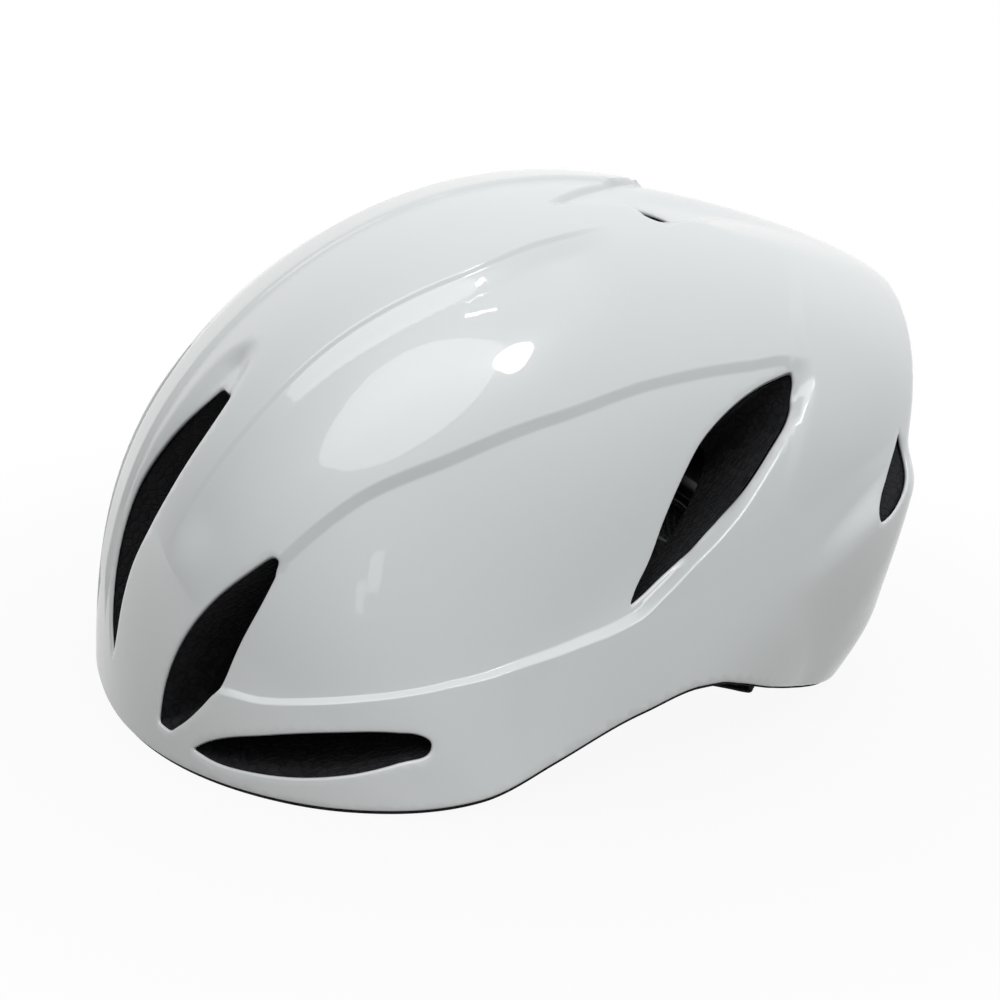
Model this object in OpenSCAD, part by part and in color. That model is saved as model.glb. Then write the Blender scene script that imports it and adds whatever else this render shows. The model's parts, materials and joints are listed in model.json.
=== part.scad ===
// Road bike helmet, resting on its rim. The front faces -Y and the wearer's left is +X.
// The outer surface is a fan of rays from fan_z below the ear line. Each ray has an angle a,
// counted round the X axis from the front, and a sideways angle b.

/* [Shell form] */
// Reach of the front from the ear line
front_reach = 144; // [138:1:150]
// Reach of the back, low down, from the ear line
rear_reach = 138; // [133:1:144]
// Height of the crown over the rim
crown_height = 168; // [162:1:176]
// Half the width at the widest
half_width = 111; // [108:1:118]
// Where the cut-off tail would meet the rim's level
tail_reach = 125; // [121:0.5:129]
// Forward lean of the tail face
tail_lean = 0.04; // [0.02:0.01:0.08]
// Wall of the outer shell
shell_t = 1.2; // [0.8:0.1:2]
// Gap between shell and foam
shell_gap = 0.3; // [0.2:0.05:0.5]
// Foam left showing under the shell
rim_lip = 1.5; // [1:0.1:3]

/* [Surface detail] */
// Rise of the centre band
band_rise = 1.6; // [0.5:0.1:3]
// Drop beside the upper crease
crease_drop = 2; // [0.5:0.1:3]
// Drop of the side panel at its front
panel_front = 2; // [0.5:0.1:3]
// Drop of the side panel at the side vent
panel_rear = 6.5; // [3:0.5:8]
// Depth of the grooves round the front slots
groove_depth = 3; // [1:0.1:4]
// Depth of the pocket behind the crown
pocket_depth = 3.4; // [1:0.1:4.5]
// Rise of the bulge low on the back
bulge_rise = 7.5; // [5:0.5:8]

/* [Head cavity] */
// Half the cavity's width
head_rx = 80; // [76:0.5:83]
// Half the cavity's length
head_ry = 99; // [95:0.5:102]
// Height of the cavity's ceiling
head_rz = 134; // [128:1:138]
// Place of the cavity's middle, behind the ear line
head_y = -6; // [-8:0.5:-4]
// Width of the air channels over the head
channel_w = 14; // [8:0.5:18]
// Depth of the air channels
channel_d = 9; // [5:0.5:12]

/* [Pads] */
// Thickness of the fit pads
pad_t = 6; // [4:0.5:8]
// Gap that the hook discs need behind a pad
pad_gap = 1.9; // [1.8:0.1:2.5]
// Diameter of the hook discs
disc_d = 14; // [10:1:18]
// Thickness of the hook discs
disc_t = 0.6; // [0.4:0.1:0.8]

/* [Straps] */
// Width of the webbing
strap_w = 15; // [12:0.5:16]
// Thickness of the webbing
strap_t = 1.2; // [0.8:0.1:1.5]
// Distance of the front strap slots inside the half width
front_slot_in = 21; // [19:0.5:23]
// Distance of the rear strap slots inside the half width
rear_slot_in = 36; // [34:0.5:38]
// Height of a strap anchor
anchor_h = 10; // [8:0.5:12]
// Wall of a strap anchor
anchor_wall = 2; // [1.5:0.1:3]
// Place of the strap dividers from the middle
divider_x = 36; // [34:0.5:38]
// Reach of a divider from its middle to each mouth
divider_r = 12; // [11:0.5:14]
// Height of a divider's body
divider_h = 4.2; // [4:0.1:6]
// Diameter of the lever's trunnions
lever_pin_d = 2.2; // [1.8:0.1:2.8]
// Length of the cam lever
lever_l = 12; // [10:0.5:14]

/* [Buckle] */
// Place of the buckle from the middle
buckle_x = 10; // [8:0.5:12]
// Width of the buckle
buckle_w = 20; // [19:0.5:23]
// Length of each buckle half
buckle_l = 20; // [18:0.5:22]
// Height of the buckle
buckle_h = 8; // [7:0.5:9]
// Diameter of the magnets
magnet_d = 5; // [4:0.5:6]
// Thickness of the magnets
magnet_t = 2; // [1:0.2:2.4]

/* [Head belt] */
// Height of the temple hinge over the rim
hinge_z = 24; // [22:0.5:27]
// Place of the temple hinge, behind the ear line
hinge_y = -10; // [-13:0.5:-7]
// Angle at which the cradle is stowed
stow_angle = 12; // [8:0.5:13]
// Radius of the belt to the middle of its strip
belt_r = 69; // [67:0.5:70]
// Distance of the belt's centre behind the hinge
belt_y = 11; // [9:0.5:13]
// Height of the belt strips
belt_h = 15; // [14:0.5:17]
// Thickness of the belt strips
belt_t = 2; // [1.4:0.1:2.4]
// Travel of each rack when the dial tightens
rack_travel = 14; // [10:0.5:15]
// Running gap of the sliding and turning pieces
run_gap = 0.4; // [0.3:0.05:0.5]
// Diameter of the temple pins
temple_pin_d = 6; // [4:0.5:7]
// Diameter of the temple anchors' flange
flange_d = 20; // [17:0.5:22]

/* [Dial] */
// Tooth module of pinion and racks
tooth_m = 0.9; // [0.8:0.05:1]
// Teeth on the pinion
pinion_teeth = 8; // [8:2:8]
// Diameter of the dial knob
knob_d = 30; // [28:1:32]
// Height of the dial knob
knob_h = 7; // [6:0.5:8]
// Grip flutes round the knob
knob_flutes = 18; // [12:1:24]
// Wall of the dial housing behind the racks
housing_wall = 2.6; // [2:0.1:3]
// Thickness of the housing's cover
cover_t = 2.1; // [1.8:0.1:2.5]
// Diameter of the cover screws
screw_d = 1.6; // [1.2:0.1:1.8]
// Thickness of the nape pad
nape_pad_t = 4; // [3:0.5:6]

/* [Height tongue] */
// Radius of the height tongue about the temple hinge
tongue_r = 95; // [94:0.5:96]
// Width of the height tongue
tongue_w = 14; // [10:0.5:16]
// Thickness of the height tongue
tongue_t = 1.6; // [1.2:0.1:2]
// Diameter of the notch holes in the tongue
notch_d = 3; // [2:0.5:4]
// Wall of the clip round the tongue
clip_wall = 2; // [1.4:0.1:2.5]

/* [Hidden] */
$fn = 48;

// Colours
white = [0.93, 0.94, 0.95];
foam_black = [0.12, 0.12, 0.13];
pad_grey = [0.22, 0.22, 0.24];
web_black = [0.1, 0.1, 0.11];
plastic = [0.16, 0.16, 0.17];
steel = [0.7, 0.71, 0.73];

// The ear line's place puts the origin midway between the front and the tail
front_tip = front_reach - 1.8;
tail_tip = tail_reach + 7.6;
ear_y = (front_tip - tail_tip) / 2;

// Fan surface
fan_z = -40;
shape_step = 15;
shape_from = -30;
// How far the side view stands off an ellipse, every 15 degrees from 30 below the front
profile_k = [0.93, 0.975, 0.985, 1, 1.045, 1.072, 1.034, 0.995, 0.978, 1.02, 1.165, 1.38, 1.15, 0.92,
    0.78, 0.65];
// How far the sides stand off the half width, at the same angles
width_k = [0.99, 1.035, 1.08, 1.11, 1.1, 1.055, 1, 0.967, 0.944, 0.94, 0.915, 0.83, 0.73, 0.68, 0.68,
    0.68];
// Roundness of the cross-section at the front, and how it falls towards the back
roundness = 2.33;
roundness_fall = 0.0018;
tail_blend = 4;
tail_wrap = 1;
// Height of the lower edge, as places behind the ear line and heights
rim_line = [[-160, 0], [-100, 0], [-75, 1], [-50, 4], [-25, 9.5], [5, 20], [25, 27], [42, 25],
    [60, 14.5], [80, 5], [100, 0.5], [110, 0], [160, 0]];
// Sideways angles of the crease lines, as pairs of a and b
band_b = 4.6;
crease_1 = [[0, 15], [50, 15], [65, 14], [77, 13.7], [87, 12], [93, 11], [115, 10], [180, 12]];
crease_2 = [[0, 19], [30, 23], [48, 26.4], [58, 26.8], [70, 27.8], [82, 27.2], [95, 24.8],
    [107, 21.8], [113, 20], [180, 18]];
panel_foot = [[0, 24], [25, 26.5], [31, 30], [36, 37], [45, 43.4], [58, 47.8], [74, 49.2],
    [83, 48.8], [93, 46], [101, 41.8], [105.5, 38.2], [110, 33], [113.6, 27.6], [115.5, 24],
    [180, 22.5]];
fan_side = 71;
rows = concat([for (a = [9:4.5:27]) a], [for (a = [30:3:51]) a], [for (a = [55:4.5:102]) a],
    [104.5, 107.5, 110, 112.5, 114.5, 116.5, 120, 123.5, 126.5, 129.5, 132.5, 135.5, 138.5, 142],
    [for (a = [146:5:171]) a]);

// Vent outlines on the fan, as pairs of a and b
slot_line = [[22, 9.6], [28, 7.8], [34, 6.2], [40, 5.8], [46, 6.8], [51, 8.2], [54, 9.2],
    [54.5, 10.4], [50, 11.6], [44, 11.8], [38, 11.4], [32, 11], [27, 10.8], [22, 10.2]];
eye_line = [[21.5, 21], [22, 23.4], [26, 26.2], [30, 28], [38.5, 28], [46.5, 27.2], [47.4, 26.2],
    [46.5, 25.6], [39, 23.4], [32, 21.4], [28, 20.8], [24, 20.2]];
brow_line = [[21.4, 28], [22.2, 27], [25, 30.2], [30, 35.5], [35.5, 41], [42, 46.6], [44.6, 49],
    [44, 50.6], [37.5, 48.6], [31.5, 45], [27, 41], [24, 36.8], [22.2, 32]];
side_line = [[112, 21.8], [112.4, 24], [111.4, 27], [107, 32.8], [101.5, 38.6], [97.5, 41.6],
    [93.5, 43.8], [90, 45.4], [93.2, 40], [98, 33.4], [104, 27.2], [110, 23.2]];
crown_line = [[95.5, 8.4], [97.5, 10], [100, 9.8], [101, 8.8], [100, 7], [97, 6.8]];
rear_line = [[128.2, 20.2], [129, 23], [131, 26.2], [133, 27], [135.2, 25.4], [136.2, 22.5],
    [135.6, 20], [133.4, 17.4], [131, 15.6], [129, 17]];
vent_lines = [slot_line, eye_line, brow_line, side_line, crown_line, rear_line];
vent_middle = [0, ear_y - 5, 20];
foam_margin = 0.5;

// Head cavity and temple hinge, as places along the helmet
head_mid = ear_y + head_y;
hinge_at = ear_y + hinge_y;

// Straps and buckle
floor_gap = 0.4;
fit_gap = 0.3;
front_slot = [half_width - front_slot_in, ear_y - 40];
rear_slot = [half_width - rear_slot_in, ear_y + 57];
front_slot_turn = 60;
rear_slot_turn = 140;
slot_gap = 0.6;
anchor_lift = 3;
divider_at = [divider_x, ear_y + 12];
mouth_z = floor_gap + divider_h / 2;
mouth_depth = 4;
buckle_y = ear_y - 34;
strap_in_buckle_z = floor_gap + buckle_h / 2;

// Belt and dial, in the cradle's own frame with its origin on the hinge
strip_in = belt_r - belt_t / 2;
strip_out = belt_r + belt_t / 2;
channel_in = strip_in - run_gap;
channel_out = strip_out + run_gap;
channel_half = belt_h / 2 + 0.5;
housing_out = channel_out + housing_wall;
housing_half = channel_half + 2.5;
housing_side = 21;
cover_out = channel_in - 0.1;
cover_in = cover_out - cover_t;
pinion_r = tooth_m * pinion_teeth / 2;
tooth_pitch = PI * tooth_m;
tooth_turn = tooth_pitch / belt_r * 180 / PI;
arm_turn = rack_travel / belt_r * 180 / PI;
rack_tip = 6;
rack_root = rack_tip + arm_turn + rack_tip + arm_turn - 5;
guide_from = 93;
guide_to = 106;
arm_end = guide_to + 8;
temple_turn = 90 + asin(belt_y / belt_r);
knob_from = belt_y + housing_out + 0.6;
tooth_top = 0.75 * tooth_m;
tooth_foot = 1.05 * tooth_m;

// Surface functions
function ease(t) = let (u = min(1, max(0, t))) u * u * (3 - 2 * u);
function bump(t) = ease(1 - abs(t));
function mix(p, q, t) = p + (q - p) * t;
function unit(v) = v / norm(v);
function soft_min(p, q, k) =
    let (h = min(1, max(0, 0.5 + (q - p) / (2 * k)))) mix(q, p, h) - k * h * (1 - h);
function curve_at(c, s) =
    let (u = min(len(c) - 2.001, max(1, s)), i = floor(u), t = u - i)
    (c[i - 1] * pow(1 - t, 3) + c[i] * (3 * pow(t, 3) - 6 * t * t + 4)
     + c[i + 1] * (1 + 3 * t + 3 * t * t - 3 * pow(t, 3)) + c[i + 2] * pow(t, 3)) / 6;
function ray(a, b) = [sin(b), -cos(b) * cos(a), cos(b) * sin(a)];
function ellipse_r(a) =
    let (reach = cos(a) > 0 ? front_reach : rear_reach)
    1 / sqrt(pow(cos(a) / reach, 2) + pow(sin(a) / (crown_height - fan_z), 2));
function body_r(a, b) =
    let (s = (a - shape_from) / shape_step, r = ellipse_r(a) * curve_at(profile_k, s),
         w = half_width * curve_at(width_k, s), n = roundness - roundness_fall * a)
    pow(pow(abs(sin(b)) / w, n) + pow(cos(b) / r, n), -1 / n);
function tail_r(a, b) =
    let (d = ray(a, b), run = d.y - tail_lean * d.z, level = tail_reach + tail_lean * fan_z)
    run > 0.05 ? level * (1 - tail_wrap * pow(sin(b), 2)) / run : 1000;

// Rise and fall of the surface over the plain body
function band(a, b) =
    band_rise * (1 - ease((b - band_b + 0.6) / 1.2)) * ease((a - 24) / 8) * ease((104 - a) / 8);
function upper_crease(a, b) =
    let (g = lookup(a, crease_1), fade = ease((a - 44) / 8) * ease((94 - a) / 6))
    -crease_drop * ease((b - g + 0.8) / 1.6) * (1 - ease((b - g) / 9)) * fade;
function side_panel(a, b) =
    let (top = lookup(a, crease_2), foot = lookup(a, panel_foot), step = mix(4, 1.6, ease((a - 42) / 14)),
         fade = ease((a - 30) / 12) * ease((117 - a) / 3),
         depth = mix(panel_front, panel_rear, ease((a - 62) / 46)) * fade)
    -depth * ease((b - top + 0.9) / 3.6) * (1 - ease((b - foot) / step + 0.5));
function groove(a, b) =
    let (m = 9.2) -groove_depth * bump((b - m) / 5.4) * ease((a - 18) / 8) * ease((61 - a) / 6);
function pocket(a, b) =
    let (front = 100 - 11.5 * b / 7.6)
    -pocket_depth * ease((a - front + 1) / 3) * ease((8.6 - b) / 1.6) * (1 - ease((a - 101) / 13));
function bulge(a, b) =
    bulge_rise * ease((a - 141 + b / 2) / 6) * (1 - ease((a - 147) / 14)) * (1 - ease((b - 26) / 14));
function detail(a, b) =
    let (s = abs(b))
    band(a, s) + upper_crease(a, s) + side_panel(a, s) + groove(a, s) + pocket(a, s) + bulge(a, s);
function outer_r(a, b) = soft_min(body_r(a, b), tail_r(a, b), tail_blend) + detail(a, b);
function on_fan(a, b, inset = 0) = [0, ear_y, fan_z] + ray(a, b) * (outer_r(a, b) - inset);

// Columns of the fan follow the creases
function half_columns(a) =
    let (c = lookup(a, crease_1), d = lookup(a, crease_2), e = lookup(a, panel_foot))
    [0, band_b - 0.6, band_b + 0.6, 7.6, mix(7.6, c - 0.8, 0.6), c - 0.8, c + 0.8,
     mix(c, d, 0.4), mix(c, d, 0.7), d - 0.9, mix(d, e, 0.12) + 0.9, mix(d, e, 0.35),
     mix(d, e, 0.65), e - 0.8, e + 0.8, mix(e, fan_side, 0.33), mix(e, fan_side, 0.66), fan_side];
function columns(a) =
    let (h = half_columns(a), n = len(h)) [for (i = [1 - n:n - 1]) i < 0 ? -h[-i] : h[i]];
function fan_points(inset) = [for (a = rows) for (b = columns(a)) on_fan(a, b, inset)];
fan_wide = 2 * len(half_columns(90)) - 1;

function quad(i, j, w) = let (p = i * w + j, q = p + w) [[p, q + 1, p + 1], [p, q, q + 1]];
function sheet_faces(m, w) = [for (i = [0:m - 2]) for (j = [0:w - 2]) each quad(i, j, w)];
function border(m, w) = concat([for (j = [0:w - 2]) j], [for (i = [0:m - 2]) i * w + w - 1],
    [for (j = [w - 1:-1:1]) (m - 1) * w + j], [for (i = [m - 1:-1:1]) i * w]);
function flip(faces) = [for (f = faces) [f[2], f[1], f[0]]];
function shift(faces, k) = [for (f = faces) [for (v = f) v + k]];

// A closed solid between two like sheets of m by w points, the first one on the outside
module thick_sheet(outside, inside, m, w) {
    n = m * w;
    edge = border(m, w);
    rim = [for (i = [0:len(edge) - 1]) let (p = edge[i], q = edge[(i + 1) % len(edge)])
        each [[p, q, p + n], [q, q + n, p + n]]];
    skin = sheet_faces(m, w);
    polyhedron(concat(outside, inside), concat(skin, shift(flip(skin), n), rim));
}

module fan_solid(inset) {
    n = len(rows) * fan_wide;
    edge = border(len(rows), fan_wide);
    rim = [for (i = [0:len(edge) - 1]) [edge[i], edge[(i + 1) % len(edge)], n]];
    polyhedron(concat(fan_points(inset), [[0, ear_y, fan_z]]),
        concat(sheet_faces(len(rows), fan_wide), rim));
}

module fan_skin(inset, wall) {
    thick_sheet(fan_points(inset), fan_points(inset + wall), len(rows), fan_wide);
}

// Keeps a carved piece as one mesh
module one_mesh() {
    resize([0, 0, 0]) children();
}

// Everything under the rim line, raised by lift
module under_rim(lift) {
    reach = 400;
    rotate([90, 0, 90])
        translate([0, 0, -reach / 2])
            linear_extrude(reach)
                polygon(concat([[-reach, -reach], [-reach, lift]],
                    [for (p = rim_line) [p.x + ear_y, p.y + lift]], [[reach, lift], [reach, -reach]]));
}

// A tunnel through the outline, narrowing towards the middle of the head
module vent_tunnel(line, margin, side) {
    n = len(line);
    mid = [for (k = [0, 1]) [for (p = line) p[k]] * [for (p = line) 1] / n];
    grown = [for (p = line) p + unit(p - mid) * margin];
    ring = concat([for (p = grown) on_fan(p.x, side * p.y)], [on_fan(mid.x, side * mid.y)]);
    near = [for (p = ring) mix(vent_middle, p, 0.5)];
    far = [for (p = ring) mix(vent_middle, p, 1.08)];
    walls = [for (i = [0:n - 1]) let (j = (i + 1) % n)
        each [[i, j, j + n + 1], [i, j + n + 1, i + n + 1], [j, i, n], [i + n + 1, j + n + 1, 2 * n + 1]]];
    turns = [for (i = [0:n - 1]) let (p = line[i], q = line[(i + 1) % n]) p.x * q.y - p.y * q.x];
    wind = turns * [for (p = line) 1];
    polyhedron(concat(near, far), side * wind > 0 ? walls : flip(walls));
}

module all_vents(margin) {
    for (line = vent_lines, side = [-1, 1]) vent_tunnel(line, margin, side);
}

module outer_shell() {
    color(white) one_mesh() difference() {
        fan_skin(0, shell_t);
        under_rim(rim_lip);
        all_vents(0);
    }
}

// The head's form, grown all round
module head_form(grow, detail_fn) {
    translate([0, head_mid, 0])
        scale([head_rx + grow, head_ry + grow, head_rz + grow])
            sphere(1, $fn = detail_fn);
}

module air_channels() {
    side_at = 22;
    channel_from = 50;
    intersection() {
        head_form(channel_d, 40);
        for (x = [-side_at, side_at])
            translate([x - channel_w / 2, -200, channel_from]) cube([channel_w, 400, 200]);
    }
}

module foam_liner() {
    color(foam_black) one_mesh() difference() {
        fan_solid(shell_t + shell_gap);
        under_rim(0);
        all_vents(foam_margin);
        head_form(0, 44);
        air_channels();
        for (side = [0, 1]) mirror([side, 0, 0]) {
            anchor_space(front_slot, front_slot_turn);
            anchor_space(rear_slot, rear_slot_turn);
            temple_anchor_body(fit_gap);
        }
        clip_space();
    }
}

// Points on the cavity wall by turn from the front and rise, moved inwards
function head_point(az, el, inward) =
    [(head_rx - inward) * cos(el) * sin(az), head_mid - (head_ry - inward) * cos(el) * cos(az),
     (head_rz - inward) * sin(el)];
function head_top(x, y, inward) =
    let (u = x / (head_rx - inward), v = (y - head_mid) / (head_ry - inward))
    [x, y, (head_rz - inward) * sqrt(1 - u * u - v * v)];
// Swell of a pad, from 1 in its middle to 0 at its edge
function swell(u, v) = sqrt(max(0, 1 - pow(abs(u), 6))) * sqrt(max(0, 1 - pow(abs(v), 4)));
function round_end(u) = sqrt(max(0.02, 1 - pow(abs(u), 5)));

pad_long = 20;
pad_wide = 7;
pad_edge = 0.35;
function pad_u(i) = sin(90 * (2 * i / pad_long - 1));
function pad_v(j) = sin(90 * (2 * j / pad_wide - 1));
function pad_depth(u, v) = pad_gap + pad_t * (pad_edge + (1 - pad_edge) * swell(u, v));

// A pad along the cavity wall, from its middle turn and rise and its half spans
module wall_pad(az, el, az_half, el_half) {
    back = [for (i = [0:pad_long]) for (j = [0:pad_wide])
        let (u = pad_u(i), v = pad_v(j) * round_end(u))
        head_point(az + u * az_half, el + v * el_half, pad_gap)];
    front = [for (i = [0:pad_long]) for (j = [0:pad_wide])
        let (u = pad_u(i), v = pad_v(j) * round_end(u))
        head_point(az + u * az_half, el + v * el_half, pad_depth(u, pad_v(j)))];
    thick_sheet(front, back, pad_long + 1, pad_wide + 1);
}

module brow_pad() {
    color(pad_grey) wall_pad(0, 13, 50, 6.2);
}

side_pad_el = 47;
side_pad_half = [34, 6.5];

module side_pad_left() {
    color(pad_grey) wall_pad(88, side_pad_el, side_pad_half.x, side_pad_half.y);
}

module side_pad_right() {
    color(pad_grey) wall_pad(-88, side_pad_el, side_pad_half.x, side_pad_half.y);
}

crown_pad_half = [13, 52];

module crown_pad() {
    back = [for (i = [0:pad_long]) for (j = [0:pad_wide])
        let (u = pad_u(i), v = pad_v(j) * round_end(u))
        head_top(-v * crown_pad_half.x, head_mid + u * crown_pad_half.y, pad_gap)];
    front = [for (i = [0:pad_long]) for (j = [0:pad_wide])
        let (u = pad_u(i), v = pad_v(j) * round_end(u))
        head_top(-v * crown_pad_half.x, head_mid + u * crown_pad_half.y, pad_depth(u, pad_v(j)))];
    color(pad_grey) thick_sheet(front, back, pad_long + 1, pad_wide + 1);
}

// A disc on the cavity wall at a point, facing the middle of the head
module wall_disc(p) {
    n = unit([p.x / pow(head_rx, 2), (p.y - head_mid) / pow(head_ry, 2), p.z / pow(head_rz, 2)]);
    sink = 0.95;
    translate(p - n * (sink + disc_t))
        rotate([0, acos(n.z), atan2(n.y, n.x)])
            cylinder(d = disc_d, h = disc_t);
}

module hook_discs() {
    color(web_black) {
        for (az = [-36, -12, 12, 36]) wall_disc(head_point(az, 13, 0));
        for (az = [-106, -70, 70, 106]) wall_disc(head_point(az, side_pad_el, 0));
        for (y = [-28, 28]) wall_disc(head_top(0, head_mid + y, 0));
    }
}

// Strap anchors, moulded into the rim over the strap slots
function rim_height(y) = lookup(y - ear_y, rim_line);
function anchor_base(slot) = rim_height(slot.y) + anchor_lift;
anchor_long = strap_w + 2 * anchor_wall + 1;
anchor_wide = strap_t + 2 * anchor_wall + 2 * fit_gap;

module anchor_block(grow) {
    translate([-anchor_long / 2 - grow, -anchor_wide / 2 - grow, -grow])
        cube([anchor_long + 2 * grow, anchor_wide + 2 * grow, anchor_h + 2 * grow]);
}

module strap_anchor(slot, turn) {
    translate([slot.x, slot.y, anchor_base(slot)])
        rotate([0, 0, turn])
            difference() {
                anchor_block(0);
                translate([-strap_w / 2 - fit_gap, -strap_t / 2 - fit_gap, -1])
                    cube([strap_w + 2 * fit_gap, strap_t + 2 * fit_gap, anchor_h + 2]);
            }
}

module anchor_space(slot, turn) {
    translate([slot.x, slot.y, anchor_base(slot)])
        rotate([0, 0, turn]) {
            anchor_block(fit_gap);
            translate([-strap_w / 2 - slot_gap, -strap_t / 2 - slot_gap, -40])
                cube([strap_w + 2 * slot_gap, strap_t + 2 * slot_gap, 41]);
        }
}

module strap_anchor_front_left() {
    color(plastic) strap_anchor(front_slot, front_slot_turn);
}

module strap_anchor_front_right() {
    color(plastic) mirror([1, 0, 0]) strap_anchor(front_slot, front_slot_turn);
}

module strap_anchor_rear_left() {
    color(plastic) strap_anchor(rear_slot, rear_slot_turn);
}

module strap_anchor_rear_right() {
    color(plastic) mirror([1, 0, 0]) strap_anchor(rear_slot, rear_slot_turn);
}

// Height of the rim at the lower end of a slot
function slot_exit(slot, turn) =
    let (reach = strap_w / 2 * sin(turn)) min(rim_height(slot.y - reach), rim_height(slot.y + reach));

// Webbing along stations of x, y, z and the turn of its width
function through(s, i, t) =
    let (n = len(s) - 1, p = s[max(0, i - 1)], q = s[i], r = s[min(n, i + 1)], w = s[min(n, i + 2)])
    0.5 * (2 * q + (r - p) * t + (2 * p - 5 * q + 4 * r - w) * t * t + (3 * q - p - 3 * r + w) * pow(t, 3));
web_steps = 3;

module webbing(stations) {
    last = len(stations) - 1;
    track = concat([for (i = [0:last - 1]) for (k = [0:web_steps - 1]) through(stations, i, k / web_steps)],
        [stations[last]]);
    m = len(track);
    function place(i) = [track[i][0], track[i][1], track[i][2]];
    function along(i) = unit(place(min(m - 1, i + 1)) - place(max(0, i - 1)));
    function wide(i) = [cos(track[i][3]), sin(track[i][3]), 0];
    function across(i) = let (w = wide(i), t = along(i)) unit(w - t * (w * t));
    function side(i, k) = place(i) + across(i) * (k * strap_w / 2);
    function lift(i) = cross(across(i), along(i)) * strap_t / 2;
    upper = [for (i = [0:m - 1]) for (k = [-1, 1]) side(i, k) + lift(i)];
    lower = [for (i = [0:m - 1]) for (k = [-1, 1]) side(i, k) - lift(i)];
    thick_sheet(upper, lower, m, 2);
}

// Turn of a divider's mouth towards a strap slot
function turn_to(slot) = atan2(slot.y - divider_at.y, slot.x - divider_at.x);
mouth_at_r = divider_r - mouth_depth + fit_gap;
function mouth_point(turn, out) = divider_at + (mouth_at_r + out) * [cos(turn), sin(turn)];
// Stretches of strap that lie level before a mouth and inside it
level_run = [2 * mouth_depth, mouth_depth, 0];

// A strap drops out of its slot, runs under the rim and rises or falls to its divider
module side_strap(slot, slot_turn, exit, heights) {
    turn = turn_to(slot);
    near = mouth_point(turn, level_run[0]);
    base = anchor_base(slot);
    down = [for (z = [base + anchor_h - 1, base + 1, exit + 1, exit - 0.8])
        [slot.x, slot.y, z, slot_turn]];
    across = [for (h = heights) let (xy = mix(slot, near, h[0]))
        [xy.x, xy.y, h[1], mix(slot_turn, 90 + turn, ease(h[0] / 0.5))]];
    mouth = [for (d = level_run) let (xy = mouth_point(turn, d)) [xy.x, xy.y, mouth_z, 90 + turn]];
    webbing(concat(down, across, mouth));
}

strap_low = floor_gap + strap_t / 2 + 0.2;

module front_strap() {
    exit = slot_exit(front_slot, front_slot_turn);
    side_strap(front_slot, front_slot_turn, exit, [[0.05, mix(strap_low, exit, 0.35)],
        [0.14, strap_low + 0.4], [0.3, strap_low], [0.48, strap_low + 1.5], [0.64, 8], [0.78, 10.5],
        [0.91, 7]]);
}

module rear_strap() {
    exit = slot_exit(rear_slot, rear_slot_turn);
    side_strap(rear_slot, rear_slot_turn, exit, [[0.05, exit - 1.2], [0.2, exit - 1.1], [0.4, exit - 1.4],
        [0.6, exit - 2.6], [0.78, exit - 5.2], [0.92, mouth_z + 2.6]]);
}

module front_strap_left() {
    color(web_black) front_strap();
}

module front_strap_right() {
    color(web_black) mirror([1, 0, 0]) front_strap();
}

module rear_strap_left() {
    color(web_black) rear_strap();
}

module rear_strap_right() {
    color(web_black) mirror([1, 0, 0]) rear_strap();
}

// The left chin strap arches from its divider into the socket
module chin_strap_left() {
    from = mouth_point(180, 0);
    to = [buckle_x, buckle_y + buckle_l - mouth_depth + fit_gap];
    leave = [for (d = [0, mouth_depth, 2 * mouth_depth]) [from.x - d, from.y, mouth_z, 90]];
    enter = [for (d = level_run) [to.x, to.y + d, strap_in_buckle_z, 180]];
    color(web_black) webbing(concat(leave, [
        [to.x + 5.2, from.y - 0.8, mouth_z + 4.5, 104],
        [to.x + 1.6, from.y - 4, mouth_z + 7.6, 132],
        [to.x + 0.2, from.y - 9, mouth_z + 8.4, 160],
        [to.x, from.y - 14, mouth_z + 6.4, 176]
    ], enter));
}

// The right chin strap leaves the hook, folds back over the buckle and drops to its divider
module chin_strap_right() {
    from = [buckle_x, buckle_y - buckle_l + mouth_depth - fit_gap];
    to = [-mouth_point(180, 0).x, divider_at.y];
    over = strap_in_buckle_z + 15;
    color(web_black) webbing([
        [from.x, from.y, strap_in_buckle_z, 0],
        [from.x, from.y - mouth_depth, strap_in_buckle_z, 0],
        [from.x, from.y - 10, strap_in_buckle_z + 0.3, 0],
        [from.x - 0.5, from.y - 18, strap_in_buckle_z + 3, 0],
        [from.x - 1, from.y - 21, strap_in_buckle_z + 8, 2],
        [from.x - 2, from.y - 18, strap_in_buckle_z + 13, 4],
        [from.x - 4, from.y - 8, over, 8],
        [from.x - 7, from.y + 12, over, 14],
        [mix(to.x, from.x, 0.75), mix(to.y, from.y, 0.42), over, 26],
        [mix(to.x, from.x, 0.58), mix(to.y, from.y, 0.2), over - 4, 48],
        [mix(to.x, from.x, 0.42), mix(to.y, from.y, 0.07), over - 10, 72],
        [to.x + 2 * mouth_depth, to.y, mouth_z + 0.6, 88],
        [to.x + mouth_depth, to.y, mouth_z, 90],
        [to.x, to.y, mouth_z, 90]
    ]);
}

// Strap dividers with their cam levers
ear_t = 1.8;
ear_half = strap_w / 2 + 2.9;
axle_z = divider_h + lever_pin_d / 2 + 1.1;
axle_x = -4;

module divider_arm(turn, half, from, to, low, high) {
    rotate([0, 0, turn]) translate([from, -half, low]) cube([to - from, 2 * half, high - low]);
}

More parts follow.
